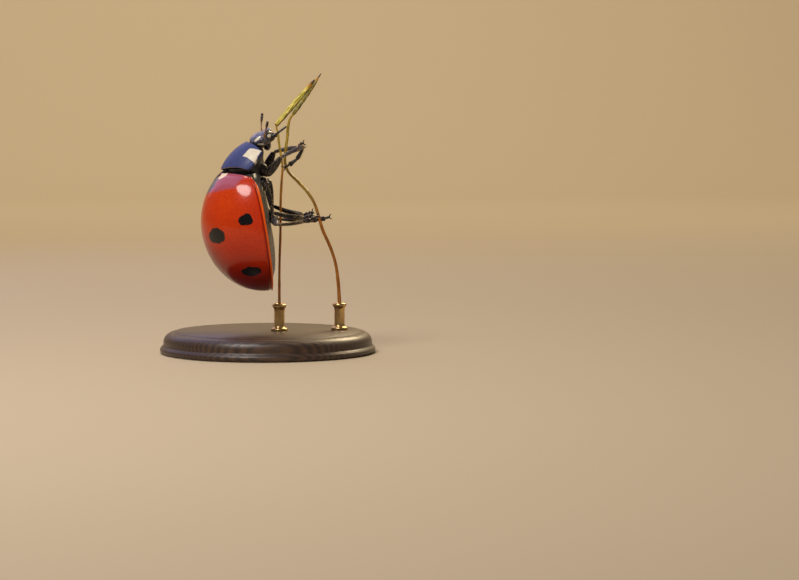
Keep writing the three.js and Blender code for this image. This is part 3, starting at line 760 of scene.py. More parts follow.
LIP_CENTRE = np.array([4.47, 0.0, -1.24])
LIP_RADII = np.array([0.17, 0.34, 0.16])
JAW_CENTRE = np.array([4.2, 0.36, -1.26])
JAW_RADII = np.array([0.24, 0.17, 0.2])
PALPS = {
    "right": [[4.12, 0.3, -1.12], [4.27, 0.4, -1.58], [4.38, 0.43, -1.81], [4.51, 0.46, -2.08]],
    "left": [[4.1, -0.26, -1.12], [4.14, -0.36, -1.46], [4.15, -0.4, -1.57], [4.18, -0.44, -1.7]],
}


def along_line(knots, at):
    """Points of a smooth line through knots, at shares of its length, and the length itself."""
    knots = np.asarray(knots, float)
    steps = np.linalg.norm(np.diff(knots, axis=0), axis=1)
    places = np.concatenate([[0], np.cumsum(steps)])
    return through(places, knots, np.asarray(at) * places[-1]), places[-1]


def loft(path, wide, deep, hint, around):
    """A grid of ellipses square to a path. wide and deep are the radii at each point of the path, and
    deep lies towards hint as nearly as it can. own is the same skin straightened out along x."""
    path = np.asarray(path, float)
    heading = np.gradient(path, axis=0)
    heading /= np.linalg.norm(heading, axis=1, keepdims=True)
    sideways = np.cross(heading, np.asarray(hint, float))
    sideways /= np.linalg.norm(sideways, axis=1, keepdims=True)
    upright = np.cross(sideways, heading)
    turn = once_round(around)
    right = np.outer(wide, np.cos(turn))
    up = np.outer(deep, np.sin(turn))
    travelled = np.concatenate([[0], np.cumsum(np.linalg.norm(np.diff(path, axis=0), axis=1))])
    points = path[:, None] + right[..., None] * sideways[:, None] + up[..., None] * upright[:, None]
    own = np.stack([travelled[:, None] + 0 * right, right, up], -1)
    return points, own


def round_ends(share, start, end):
    """1 along a limb, falling to 0 as a half ellipse over the first and last shares of its length."""
    near = np.clip(1 - share / start, 0, 1)
    far = np.clip(1 - (1 - share) / end, 0, 1)
    return np.sqrt(np.maximum(1 - near * near, 0)) * np.sqrt(np.maximum(1 - far * far, 0))


def bowed(start, end, share, bend=(0, 0, 0)):
    """Points at shares of the way from start to end, moved sideways by bend times half a sine wave."""
    return start + np.outer(share, end - start) + np.outer(np.sin(np.pi * share), bend)


def segment(start, end, radius, flat=1.0, belly=0.0, taper=0.0, around=16, along=22):
    """One rounded joint of a feeler, palp or foot between two points: a belly swells its middle, and
    taper makes its far end that much wider than its root."""
    share = crowded(along, 0.9)
    path = bowed(start, end, share)
    size = radius * (1 + belly * np.sin(np.pi * share) + taper * (share - 0.5))
    size = size * round_ends(share, 0.3, 0.25) + 1e-4
    points, own = loft(path, size, size * flat, (0, 0, 1), around)
    return wrapped(stand_up(points), own)


def mouth_part(centre, radii, side, carve, around=64, along=44):
    """A rounded part of the mouth: an egg, with its points moved by carve(unit, points)."""
    unit = globe(around, along)
    points = unit * radii
    carve(unit, points)
    placed = centre * [1, side, 1] + (points * [1, side, 1]) @ HEAD_AXES
    return wrapped(stand_up(placed), points)


def palp_shell(knots, around=20, along=100):
    """A palp in one skin: it thins from a stout root and is nipped in at its two joints."""
    share = crowded(along, 0.8)
    path = along_line(knots, share)[0]
    size = through([0, 0.2, 0.45, 0.8, 1], [0.1, 0.085, 0.056, 0.047, 0.044], share)
    size = size * (1 - 0.18 * bell(share - 0.42, 0.025) - 0.18 * bell(share - 0.68, 0.02))
    size = size * round_ends(share, 0.04, 0.05) + 1e-4
    points, own = loft(path, size, size, (0, 1, 0), around)
    return wrapped(stand_up(points), own)


def carve_lip(unit, points):
    """The lip's lower edge has a shallow notch in the middle, and its face is flattened."""
    points[..., 2] += 0.05 * bell(unit[..., 1], 0.2) * smooth(-unit[..., 2], 0.2, 0.9)
    points[..., 0] -= 0.03 * smooth(unit[..., 0], 0.4, 1) * bell(unit[..., 1], 0.7)


def carve_jaw(unit, points):
    """The jaw's tip curves in towards the mouth's middle and sharpens."""
    reach = smooth(-unit[..., 2], -0.2, 1)
    points[..., 1] = points[..., 1] * (1 - 0.45 * reach) - 0.14 * reach
    points[..., 2] -= 0.03 * reach


def jaw_finish():
    """Brown-black horn with an ivory root."""
    finish, shader, where = horn("jaw_horn", 0.3, coat=0.3)
    colour = paint(cloud(where, 8.0), (0.012, 0.01, 0.01, 1), (0.05, 0.022, 0.01, 1))
    ivory = spot(split(where)[3], (0.1, 0.13, 0.12), (0.1, 0.1, 0.085), 0.2)
    colour = paint(ivory, colour, (0.85, 0.78, 0.58, 1))
    dress(shader, colour, cloud(where, 30.0, 3.0), 0.006)
    return finish


# The lip's black horn is tinted lilac as a painted reflection of the sky.
lip_horn = black_horn("lip_horn", 0.36, (0.32, 0.29, 0.4, 1), scale=20.0, depth=0.006)
lip = make_piece("upper_lip", [mouth_part(LIP_CENTRE, LIP_RADII, 1, carve_lip)], lip_horn)
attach(lip, "root")
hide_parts("labrum")

brown_sheen = {"sheen": 0.1, "sheen_tint": (1.0, 0.62, 0.3, 1)}
limb_horn = black_horn("limb_horn", 0.26, (0.008, 0.007, 0.008, 1), scale=24.0, **brown_sheen)
jaw_horn = jaw_finish()
for side_name, side in (("right", 1), ("left", -1)):
    jaw = make_piece("jaw_" + side_name, [mouth_part(JAW_CENTRE, JAW_RADII, side, carve_jaw)], jaw_horn)
    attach(jaw, "root")
    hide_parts("mandible_" + side_name)
    palp = make_piece("palp_" + side_name, [palp_shell(PALPS[side_name])], limb_horn)
    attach(palp, "root")
    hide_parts("maxillary_palp_" + side_name)

# ---- Feelers ------------------------------------------------------------------------------------
# Each feeler is a string of eleven joints, let into the face before the eye: a stout root, slim
# amber beads, and a dark club of three.

FEELERS = {
    "right": [[4.18, 0.66, -0.96], [4.44, 0.9, -1.05], [4.66, 1.1, -1.14], [4.89, 1.3, -1.23]],
    "left": [[4.36, -0.5, -0.94], [4.58, -0.65, -0.97], [4.83, -0.9, -1.02], [5.31, -1.13, -1.17]],
}
JOINT_ENDS = [0, 0.14, 0.23, 0.33, 0.41, 0.48, 0.55, 0.61, 0.67, 0.77, 0.87, 1]
JOINT_RADII = [0.055, 0.042, 0.03, 0.028, 0.028, 0.028, 0.03, 0.036, 0.05, 0.056, 0.05]


def feeler_finish():
    """Amber horn at the root that turns dark brown in the club."""
    finish, shader, where = horn("feeler_horn", 0.38, sheen=0.3, sheen_tint=(1, 0.7, 0.4, 1))
    along = node("SeparateXYZ", {0: where}).outputs[0]
    amber = paint(cloud(where, 12.0), (0.30, 0.13, 0.03, 1), (0.12, 0.045, 0.015, 1))
    colour = paint(fade(along, 0.5, 0.85), amber, (0.025, 0.016, 0.012, 1))
    dress(shader, colour, cloud(where, 40.0, 3.0), 0.005)
    return finish


feeler_horn = feeler_finish()
for side_name, knots in FEELERS.items():
    ends, length = along_line(knots, JOINT_ENDS)
    joints = []
    for start, end, at, radius in zip(ends, ends[1:], JOINT_ENDS, JOINT_RADII):
        overlap = (end - start) * 0.08
        joint = segment(start - overlap, end + overlap, radius, belly=0.25, taper=0.25, around=14)
        points, faces, own = joint
        joints.append((points, faces, own + [at * length, 0, 0]))
    feeler = make_piece("feeler_" + side_name, joints, feeler_horn)
    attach(feeler, "root")
    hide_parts("antenna_" + side_name)

# ---- Legs ---------------------------------------------------------------------------------------
# Each leg is a round hip, a wedge-shaped ring, a stout thigh, a slim shin that widens to two spurs,
# and a foot of two padded joints and a long claw joint with a pair of toothed claws.

LEGS = {
    "right_front": {
        "hip": [2.78, 0.52, -0.6],
        "leg": [[2.46, 0.7, -0.72], [3.17, 0.85, -1.54], [3.43, 0.66, -2.67]],
        "foot": [[3.1, 0.6, -2.47], [2.82, 0.55, -2.0], [2.59, 0.5, -1.42]],
    },
    "left_front": {
        "hip": [2.78, -0.52, -0.6],
        "leg": [[2.6, -0.7, -0.72], [3.44, -0.85, -1.33], [3.4, -0.7, -2.47]],
        "foot": [[3.57, -0.6, -2.66], [3.6, -0.52, -2.83]],
    },
    "right_middle": {
        "hip": [2.12, 0.6, -0.52],
        "leg": [[2.14, 0.85, -0.62], [0.78, 1.15, -0.66], [0.23, 0.66, -1.99]],
        "foot": [[0.24, 0.54, -2.25], [0.28, 0.42, -2.56]],
    },
    "left_middle": {
        "hip": [2.12, -0.6, -0.52],
        "leg": [[2.22, -0.85, -0.88], [0.99, -1.2, -0.79], [0.29, -0.72, -2.1]],
        "foot": [[0.31, -0.64, -2.35], [0.4, -0.52, -2.64]],
    },
    "right_hind": {
        "hip": [0.62, 0.62, -0.48],
        "leg": [[0.47, 0.9, -0.66], [0.23, 1.75, -0.66], [0.11, 1.3, -1.86]],
        "foot": [[0.1, 1.12, -2.31], [0.23, 0.86, -2.79]],
    },
    "left_hind": {
        "hip": [0.62, -0.62, -0.48],
        "leg": [[0.5, -0.9, -0.72], [0.33, -1.8, -0.86], [-0.01, -1.3, -2.14]],
        "foot": [[-0.07, -1.1, -2.84], [-0.03, -0.9, -3.5]],
    },
}
THIGH_AT, THIGH_WIDE = [0, 0.15, 0.45, 0.85, 1], [0.12, 0.165, 0.185, 0.13, 0.1]
SHIN_AT, SHIN_WIDE = [0, 0.15, 0.6, 1], [0.06, 0.075, 0.1, 0.105]
THIGH_FLAT, SHIN_FLAT = 0.72, 0.75
SPUR, CLAW = 0.13, 0.16
FOOT_SIDE = [0.2, 1.0, 0.3]
STOUTNESS = {"front": (1.1, 1.05), "middle": (0.7, 1.2), "hind": (1, 1)}  # of the thighs and shins


def limb(start, end, at, wide, flat, bend, hint, around=28, along=60):
    """A thigh or shin: ellipses along a line that bows by bend, with radii through the given knots."""
    share = crowded(along, 0.85)
    path = bowed(start, end, share, bend)
    size = through(at, wide, share) * round_ends(share, 0.1, 0.07) + 1e-4
    return loft(path, size, size * flat, hint, around)


def horn_spike(root, tip, radius, curve=(0, 0, 0), around=8, along=10):
    """A tapering spike from root to tip that bows by curve: a claw, a spur or a tooth."""
    share = np.linspace(0, 1, along)
    path = bowed(root, tip, share, curve)
    size = radius * np.sqrt(1 - share * 0.985) * np.where(share < 0.01, 0.8, 1)
    points, own = loft(path, size, size, np.cross(tip - root, [0.31, 0.53, 0.79]), around)
    return wrapped(stand_up(points), own)


def direction(vector):
    """The same direction with length 1."""
    return np.asarray(vector, float) / np.linalg.norm(vector)


def foot_parts(ankle, knots):
    """The foot's joints along its line: two padded ones, each narrow at its root, the second in two
    lobes, and between the lobes the claw joint with its pair of hooked claws, each with a tooth."""
    a, b, c, d, e, tip = along_line([ankle, *knots], [0, 0.42, 0.66, 0.56, 0.88, 1])[0]
    heading = direction(tip - d)
    sideways = direction(np.cross(heading, FOOT_SIDE))
    down = direction(np.cross(heading, sideways))
    parts = [
        segment(a, b + (b - a) * 0.06, 0.096, taper=0.9, flat=0.85),
        segment(b - (c - b) * 0.2, c, 0.092, taper=0.8, flat=0.8),
        segment(b + (c - b) * 0.3, c + sideways * 0.065 + (c - b) * 0.2, 0.064, taper=0.3),
        segment(b + (c - b) * 0.3, c - sideways * 0.065 + (c - b) * 0.2, 0.064, taper=0.3),
        segment(d, e, 0.052, taper=0.6, around=12),
    ]
    for way in (-1, 1):
        root = e - heading * 0.03 + sideways * way * 0.025
        end = root + heading * CLAW * 0.85 + sideways * way * CLAW * 0.55 - down * CLAW * 0.3
        parts.append(horn_spike(root, end, 0.03, curve=down * -0.02 + sideways * way * 0.03))
        tooth = root + heading * 0.06 + sideways * way * 0.03 - down * 0.045
        parts.append(horn_spike(root, tooth, 0.024))
    return parts


def foot_finish():
    """Dark brown horn with paler patches."""
    finish, shader, where = horn("foot_horn", 0.34, sheen=0.15, sheen_tint=(1, 0.68, 0.36, 1))
    pale = fade(cloud(where, 7.0, 3.0), 0.5, 0.8)
    colour = paint(pale, (0.006, 0.005, 0.006, 1), (0.05, 0.028, 0.014, 1))
    dress(shader, colour, cloud(where, 45.0, 3.0), 0.005)
    return finish


def joint_finish():
    """Amber-brown horn of the ring that joins the hip and the thigh."""
    finish, shader, where = horn("joint_horn", 0.36, coat=0.2)
    colour = paint(cloud(where, 6.0, 3.0), (0.04, 0.022, 0.012, 1), (0.01, 0.007, 0.006, 1))
    dress(shader, colour, cloud(where, 35.0, 3.0), 0.005)
    return finish


HIP_RADII = np.array([0.32, 0.3, 0.26])
foot_horn, joint_horn = foot_finish(), joint_finish()
# Black leg horn painted blue-grey as a sheen of the sky.
sky_sheen_horn = black_horn("sky_sheen_leg_horn", 0.3, (0.06, 0.062, 0.09, 1), scale=24.0)
leg_skins = {}
for leg_name, leg in LEGS.items():
    side = 1 if leg_name.startswith("right") else -1
    hip, (root, knee, ankle) = np.array(leg["hip"]), [np.array(point) for point in leg["leg"]]
    hip_points = hip + globe(48, 34) * HIP_RADII * [1, side, 1]
    ring_start = hip + (root - hip) * 0.4
    ring_end = root + direction(knee - root) * 0.16
    hip_shells = [
        wrapped(stand_up(hip_points), hip_points - hip),
        (*segment(ring_start, ring_end, 0.17, belly=0.15), 1),
    ]
    hip_piece = make_piece("hip_" + leg_name, hip_shells, limb_horn, joint_horn)
    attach(hip_piece, "root")
    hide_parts("coxa_" + leg_name)

    plane = np.cross(knee - root, ankle - knee)
    thigh_stout, shin_stout = STOUTNESS[leg_name.split("_")[1]]
    thigh_wide, shin_wide = np.array(THIGH_WIDE) * thigh_stout, np.array(SHIN_WIDE) * shin_stout
    thigh_points, thigh_own = limb(root, knee, THIGH_AT, thigh_wide, THIGH_FLAT, [0, 0, 0], plane)
    # Hind thighs take the painted blue-grey sky sheen.
    thigh_horn = sky_sheen_horn if "hind" in leg_name else limb_horn
    thigh = make_piece("thigh_" + leg_name, [wrapped(stand_up(thigh_points), thigh_own)], thigh_horn)
    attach(thigh, "root")
    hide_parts("femur_" + leg_name)

    bow = direction(np.cross(plane, ankle - knee)) * (-0.13 if "hind" in leg_name else -0.05)
    shin_points, shin_own = limb(knee, ankle, SHIN_AT, shin_wide, SHIN_FLAT, bow, plane)
    way, across = direction(ankle - knee), direction(plane)
    spurs = [
        horn_spike(ankle - way * 0.1 + across * apart, ankle + way * SPUR + across * 1.5 * apart, 0.022)
        for apart in (-0.06, 0.06)
    ]
    # Front shins take the painted blue-grey sky sheen.
    shin_horn = sky_sheen_horn if "front" in leg_name else limb_horn
    shin = make_piece("shin_" + leg_name, [wrapped(stand_up(shin_points), shin_own), *spurs], shin_horn)
    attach(shin, "root")
    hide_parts("tibia_" + leg_name)

    foot = make_piece("foot_" + leg_name, foot_parts(ankle, leg["foot"]), foot_horn)
    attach(foot, "root")
    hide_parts("tarsus_" + leg_name)
    foot_line = along_line([ankle, *leg["foot"]], np.linspace(0, 0.85, 24))[0]
    ones = np.ones(len(foot_line))
    foot_points = loft(foot_line, 0.06 * ones, 0.055 * ones, FOOT_SIDE, 16)[0]
    leg_skins[leg_name] = [thigh_points, shin_points, foot_points]

# ---- Hairs --------------------------------------------------------------------------------------
# Short golden hairs clothe the thighs, shins and feet, thickest where a shin ends, and a thin down
# lies flat over the belly. Each hair is a slim three-sided spike that bends back towards the skin.

LEG_COAT = {  # by patch number: the limb (thigh, shin, foot), from and to, count, length and lift
    0: (0, 0.08, 0.94, 240, 0.08, 22),
    1: (1, 0.06, 0.96, 260, 0.08, 28),
    2: (1, 0.6, 0.97, 150, 0.11, 44),
    9: (2, 0.1, 0.7, 160, 0.08, 40),
}
BELLY_COAT = (0.0, 1.0, 1700, 0.13, 16)
HAIR_RADIUS = 0.0056
TILES = 6  # the unwrap is a square of this many rows of tiles, one tile for each patch of skin
PATCH = 0.0015  # half the width of a hair's own patch in the unwrap


def hairs(skin, hub, start, end, count, length, lift, seed, tile):
    """count hairs rooted at random places over a grid of skin, between two shares of its rows. Each
    leans along the rows, lifted by lift degrees, and tapers to its tip. hub is the line inside the
    skin. Also gives the unwrap: a small patch for each hair, at its root's place in the skin's tile."""
    random = np.random.default_rng(seed)
    rows, columns = skin.shape[:2]
    row = random.uniform(start, end, count) * (rows - 2)
    column = random.uniform(0, columns - 1.001, count)
    i, j = row.astype(int), column.astype(int)
    part = (row - i)[:, None]
    root = skin[i, j] * (1 - part) + skin[i + 1, j] * part
    along = skin[i + 1, j] - skin[i, j]
    along /= np.linalg.norm(along, axis=1, keepdims=True)
    out = root - hub[i]
    out -= (out * along).sum(1)[:, None] * along
    out /= np.linalg.norm(out, axis=1, keepdims=True)
    sideways = np.cross(along, out)
    angle = np.radians(lift * random.uniform(0.6, 1.3, count))[:, None]
    sway = random.uniform(-0.35, 0.35, count)[:, None] * sideways
    long = (length * random.uniform(0.6, 1.25, count))[:, None, None]
    share = np.array([0, 0.34, 0.68, 1])[None, :, None]
    path = (along * np.cos(angle) + sway)[:, None] * share
    path = path + out[:, None] * (np.sin(angle)[:, None] * (share - 0.35 * share * share) - 0.08)
    path = root[:, None] + path * long
    turn = np.radians([0, 120, 240])
    around = np.cos(turn)[:, None] * out[:, None, None] + np.sin(turn)[:, None] * sideways[:, None, None]
    size = HAIR_RADIUS * (1 - 0.93 * share[..., None])
    points = path[:, :, None] + around * size
    index = np.arange(count * 12).reshape(count, 4, 3)
    after = np.roll(index, -1, axis=2)
    sides = np.stack([index[:, :-1], index[:, 1:], after[:, 1:], after[:, :-1]], -1).reshape(-1, 4)
    none = np.full(count, -1)
    ends = np.concatenate([
        np.stack([index[:, 0, 0], index[:, 0, 1], index[:, 0, 2], none], -1),
        np.stack([index[:, 3, 2], index[:, 3, 1], index[:, 3, 0], none], -1),
    ])
    strand = random.uniform(0, 9, (count, 1, 1, 1))
    own = np.broadcast_to(share[..., None] * [1.0, 0, 0], points.shape) + strand * [0, 1, 0]
    corner = np.array([tile % TILES, tile // TILES]) + 0.05
    place = corner + 0.9 * np.stack([column / columns, row / rows], -1)
    patch = np.stack([np.cos(turn) + 0 * share[0], np.sin(turn) * (0.4 + 0.6 * share[0])], -1) * PATCH
    unwrap = (place[:, None, None] / TILES + patch).reshape(-1, 2)
    faces = np.concatenate([sides, ends])
    return (stand_up(points.reshape(-1, 3)), faces, own.reshape(-1, 3)), unwrap


def hair_finish():
    """Straw-gold hairs, browner at the root."""
    finish, shader, where = horn("golden_hair", 0.42)
    share, strand = node("SeparateXYZ", {0: where}).outputs[:2]
    colour = paint(fade(share, 0.0, 0.7), (0.24, 0.14, 0.06, 1), (0.7, 0.5, 0.25, 1))
    shade = node("TexNoise", {"W": strand, "Scale": 5.0}, noise_dimensions="1D").outputs[0]
    colour = paint(times(shade, 0.5), colour, (0.2, 0.15, 0.1, 1))
    finish.node_tree.links.new(colour, shader.inputs["Base Color"])
    return finish


golden_hair = hair_finish()
coat, unwraps = [], []
for leg_number, skins in enumerate(leg_skins.values()):
    for patch_number, (limb_number, *sizes) in LEG_COAT.items():
        skin = skins[limb_number]
        seed, tile = 10 * leg_number + patch_number, 3 * leg_number + limb_number
        made, places = hairs(skin, skin.mean(1), *sizes, seed, tile)
        coat.append(made)
        unwraps.append(places)
leg_hairs = make_piece("leg_hairs", coat, golden_hair, unwrap=np.concatenate(unwraps))
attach(leg_hairs, "root")

belly_line = np.linspace(2.3, -2.0, 80)[:, None]
belly_skin = trunk_ring(belly_line, np.linspace(0.27, 0.73, 90)[None])
made, places = hairs(belly_skin, belly_line * [1, 0, 0], *BELLY_COAT, seed=77, tile=20)
belly_down = make_piece("belly_down", [made], golden_hair, unwrap=places)
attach(belly_down, "root")

# ---- Moss stalks --------------------------------------------------------------------------------
# The beetle climbs two stalks of a moss: wiry round stems, faintly ribbed, orange-brown below and
# yellow towards the spore capsules. Each is set in the top of a brass rod.

ORANGE_BROWN, RUST, AMBER = (0.42, 0.15, 0.012, 1), (0.5, 0.21, 0.014, 1), (0.62, 0.44, 0.05, 1)
OLIVE, YELLOW = (0.42, 0.27, 0.03, 1), (0.68, 0.5, 0.06, 1)
MIDDLE_AT, HIGH_AT = 7.6, 9.6  # the heights at which the stalk's middle and high colours are full
STALKS = {
    "main": {
        "knots": [
            [0.53, -0.15, 2.2], [0.55, -0.15, 4.3], [0.59, -0.15, 5.4], [0.6, -0.15, 6.4],
            [0.62, -0.15, 7.3], [0.67, -0.16, 8.1], [0.7, -0.17, 8.6], [0.62, -0.16, 9.2],
            [0.54, -0.15, 9.7], [0.49, -0.13, 10.2], [0.43, -0.11, 10.46], [0.46, -0.11, 10.58],
        ],
        "radius": 0.056,
        "colours": (ORANGE_BROWN, RUST, AMBER),
    },
    "side": {
        "knots": [
            [3.35, 0.15, 2.2], [3.31, 0.15, 3.0], [3.12, 0.14, 4.29], [2.91, 0.14, 4.9],
            [2.56, 0.14, 5.7], [2.36, 0.14, 6.39], [2.19, 0.16, 6.9], [1.93, 0.19, 7.35],
            [1.45, 0.25, 7.9], [0.95, 0.3, 8.45], [0.84, 0.32, 8.85], [0.88, 0.34, 9.4],
            [0.96, 0.36, 10.0], [1.0, 0.37, 10.5], [1.1, 0.385, 10.86], [1.2, 0.39, 11.0],
            [1.28, 0.39, 11.1],
        ],
        "radius": 0.074,
        "colours": (ORANGE_BROWN, OLIVE, YELLOW),
    },
}


def stalk_shell(knots, radius, around=18, along=360):
    """A round stem along a smooth line, which swells and thins a little as it goes, with low ribs that
    wind slowly round it."""
    share = np.linspace(0, 1, along)
    path = along_line(knots, share)[0]
    size = radius * (1.06 - 0.2 * share + 0.05 * np.sin(share * 23) + 0.03 * np.sin(share * 71))
    size = size * round_ends(share, 0.006, 0.006) + 1e-4
    points, own = loft(path, size, size, (0, 1, 0), around)
    turn = once_round(around)[None]
    rib = 1 + 0.05 * np.cos(6 * turn + 9 * share[:, None])
    points = path[:, None] + (points - path[:, None]) * rib[..., None]
    own[..., 0] = points[..., 2]
    return wrapped(points, own)


def stretched(where, along, across, upright=None):
    """The same place, with each of its parts multiplied by a number."""
    scale = (along, across, across if upright is None else upright)
    return node("Mapping", {"Vector": where, "Scale": scale}).outputs[0]


def stalk_finish(name, low, middle, high):
    """Wiry stem: three colours, one above the other, with darker streaks along it."""
    looks = {"Subsurface_Weight": 0.15, "Subsurface_Scale": 0.0001}
    finish, shader, where = horn(name, 0.42, coat=0.15, **looks)
    height = node("SeparateXYZ", {0: where}).outputs[0]
    colour = paint(fade(height, MIDDLE_AT - 1.6, MIDDLE_AT), low, middle)
    colour = paint(fade(height, HIGH_AT - 1.3, HIGH_AT), colour, high)
    fibres = stretched(where, 0.7, 9.0)
    streak = fade(cloud(fibres, 3.0, 4.0), 0.42, 0.66)
    inputs = {0: 1.0, 6: colour, 7: (0.42, 0.3, 0.2, 1)}
    darker = node("Mix", inputs, data_type="RGBA", blend_type="MULTIPLY").outputs[2]
    colour = paint(streak, colour, darker)
    dress(shader, colour, cloud(fibres, 6.0, 4.0), 0.012)
    return finish


for stalk_name, stalk in STALKS.items():
    stem = stalk_shell(stalk["knots"], stalk["radius"])
    stem_skin = stalk_finish(f"stalk_{stalk_name}_skin", *stalk["colours"])
    stem_piece = make_piece("moss_stalk_" + stalk_name, [stem], stem_skin)
    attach(stem_piece, "root")
    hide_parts("stalk_" + stalk_name)

# ---- Spore capsules -----------------------------------------------------------------------------
# A slim capsule of spores leans out from the top of each stalk: a yellow or olive spindle, wrinkled
# lengthways, with a brown foot where it joins the stalk and a pointed lid, orange where it begins
# and dark brown at its tip.

CAPSULES = {
    "main": {
        "foot": [0.39, -0.11, 10.49],
        "tip": [2.22, -0.04, 12.63],
        "at": [0, 0.03, 0.1, 0.35, 0.55, 0.8, 0.88, 0.93, 0.97, 1],
        "wide": [0.075, 0.1, 0.11, 0.125, 0.113, 0.1, 0.085, 0.062, 0.038, 0.012],
    },
    "side": {
        "foot": [1.2, 0.39, 10.99],
        "tip": [2.54, 0.42, 12.92],
        "at": [0, 0.04, 0.12, 0.3, 0.6, 0.78, 0.86, 0.92, 1],
        "wide": [0.055, 0.085, 0.1, 0.102, 0.098, 0.08, 0.054, 0.036, 0.022],
    },
}


def capsule_shell(foot, tip, at, wide, around=40, along=160):
    """A spindle along a straight line, with lengthways wrinkles that fade where the lid begins."""
    share = crowded(along, 0.6)
    foot, tip = np.array(foot), np.array(tip)
    path = bowed(foot, tip, share)
    size = through(at, wide, share) * (1 + 0.06 * bell(share - 0.86, 0.008))
    size = size * round_ends(share, 0.02, 0.02) + 1e-4
    points, own = loft(path, size, size, (0, 1, 0), around)
    turn = once_round(around)[None]
    along_it = share[:, None]
    body = smooth(along_it, 0.02, 0.12) * smooth(-along_it, -0.84, -0.78)
    wrinkle = 0.07 * np.sin(7 * turn + 2.4 * np.sin(9 * along_it))
    finer = 0.04 * np.sin(11 * turn - 15 * along_it)
    lump = 0.06 * np.sin(40 * along_it + 2 * turn)
    points = path[:, None] + (points - path[:, None]) * (1 + body * (wrinkle + finer + lump))[..., None]
    own[..., 0] = along_it
    return wrapped(points, own)


def capsule_finish(name, skin, blotches, specks):
    """A capsule's skin in three colours, the last in scattered pale specks; orange where the lid begins
    and dark brown at its tip."""
    looks = {"Specular_IOR_Level": 0.3, "Subsurface_Weight": 0.2, "Subsurface_Scale": 0.0001}
    finish, shader, where = horn(name, 0.42, coat=0.15, **looks)
    share, upper = node("SeparateXYZ", {0: where}).outputs[:2]
    fibres = stretched(where, 2.2, 7.0)
    colour = paint(fade(cloud(fibres, 2.6, 5.0), 0.45, 0.62), skin, blotches)
    dots = fade(cloud(stretched(where, 9.0, 7.0), 1.6), 0.6, 0.7)
    colour = paint(times(dots, fade(share, 0.65, 0.4)), colour, specks)
    # Painted shade: a dark olive-brown band along the capsule's lower side.
    colour = paint(times(fade(upper, -0.055, -0.085), 0.8), colour, (0.1, 0.075, 0.006, 1))
    colour = paint(fade(share, 0.78, 0.86), colour, (0.5, 0.24, 0.015, 1))
    colour = paint(fade(share, 0.86, 0.94), colour, (0.06, 0.024, 0.004, 1))
    colour = paint(fade(share, 0.04, 0.01), colour, (0.26, 0.1, 0.01, 1))
    dress(shader, colour, cloud(fibres, 9.0, 4.0), 0.015)
    return finish


YELLOW_SKIN = (0.72, 0.6, 0.1, 1), (0.4, 0.34, 0.04, 1), (0.85, 0.8, 0.4, 1)
OLIVE_SKIN = (0.36, 0.31, 0.07, 1), (0.15, 0.13, 0.03, 1), (0.8, 0.75, 0.42, 1)
capsule_skins = {
    "main": capsule_finish("capsule_yellow", *YELLOW_SKIN),
    "side": capsule_finish("capsule_olive", *OLIVE_SKIN),
}
for capsule_name, sizes in CAPSULES.items():
    spindle = capsule_shell(**sizes)
    capsule = make_piece("spore_capsule_" + capsule_name, [spindle], capsule_skins[capsule_name])
    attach(capsule, "root")
    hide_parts("capsule_" + capsule_name)

# ---- Stand --------------------------------------------------------------------------------------
# The stand is a small turned disc of dark, oiled wood with a moulded edge. Two brass rods are let
# into it, each with a collar at its foot and a cup at its top that holds a stalk.

BASE_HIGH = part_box("stand_base")[1]
BASE_RADIUS = BASE_HIGH.x / MM
BASE_TOP = BASE_HIGH.z / MM


def turned(profile, centre, around=160):
    """A shape turned on a lathe: a profile of (radius, height) pairs carried round an upright axis."""
    profile = np.asarray(profile, float)
    turn = once_round(around)[None]
    radius, height = profile[:, :1], profile[:, 1:]
    points = np.stack([radius * np.cos(turn), radius * np.sin(turn), height + 0 * turn], -1)
    return wrapped(points + [*centre, 0], points)


def arc(centre_radius, centre_height, radius, start, end, count=10):
    """Profile points on an arc, its angles in degrees from outwards and turning up."""
    angle = np.radians(np.linspace(start, end, count))
    return np.stack([centre_radius + radius * np.cos(angle), centre_height + radius * np.sin(angle)], -1)


def wood_finish():
    """Dark oiled wood: long grain lines along x, broken by fine pores."""
    finish, shader, where = horn("oiled_wood", 0.42, coat=0.25, coat_roughness=0.3)
    inputs = {"Vector": stretched(where, 0.25, 1.6), "Scale": 1.1, "Distortion": 5.0, "Detail": 3.0}
    rings = node("TexWave", inputs, bands_direction="Y").outputs["Fac"]
    colour = paint(rings, (0.075, 0.038, 0.02, 1), (0.028, 0.014, 0.009, 1))
    pores = fade(cloud(stretched(where, 1.2, 22.0), 1.4, 3.0), 0.55, 0.72)
    colour = paint(pores, colour, (0.012, 0.007, 0.005, 1))
    dress(shader, colour, minus(1.0, pores), 0.01)
    return finish


def brass_finish():
    """Brushed brass with fine rings from turning and a faint tarnish."""
    finish, shader, where = horn("brushed_brass", 0.28, Metallic=1.0)
    colour = paint(cloud(where, 2.0, 4.0), (0.8, 0.56, 0.25, 1), (0.5, 0.33, 0.14, 1))
    dress(shader, colour, cloud(stretched(where, 0.3, 0.3, 30.0), 2.0), 0.004)
    return finish


edge = BASE_RADIUS
base_profile = np.concatenate([
    [[0.3, 0.0], [edge - 0.3, 0.0]],
    arc(edge - 0.16, 0.16, 0.16, -90, 60),
    arc(edge - 0.02, 0.44, 0.14, 240, 180, 8),
    arc(edge - 0.62, 0.5, 0.46, 5, 82, 14),
    [[edge - 0.6, 0.955], [edge - 0.66, 0.955], [edge - 0.7, BASE_TOP], [0.3, BASE_TOP]],
])
base = make_piece("base_disc", [turned(base_profile, (0, 0))], wood_finish())
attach(base, "root")
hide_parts("stand_base")

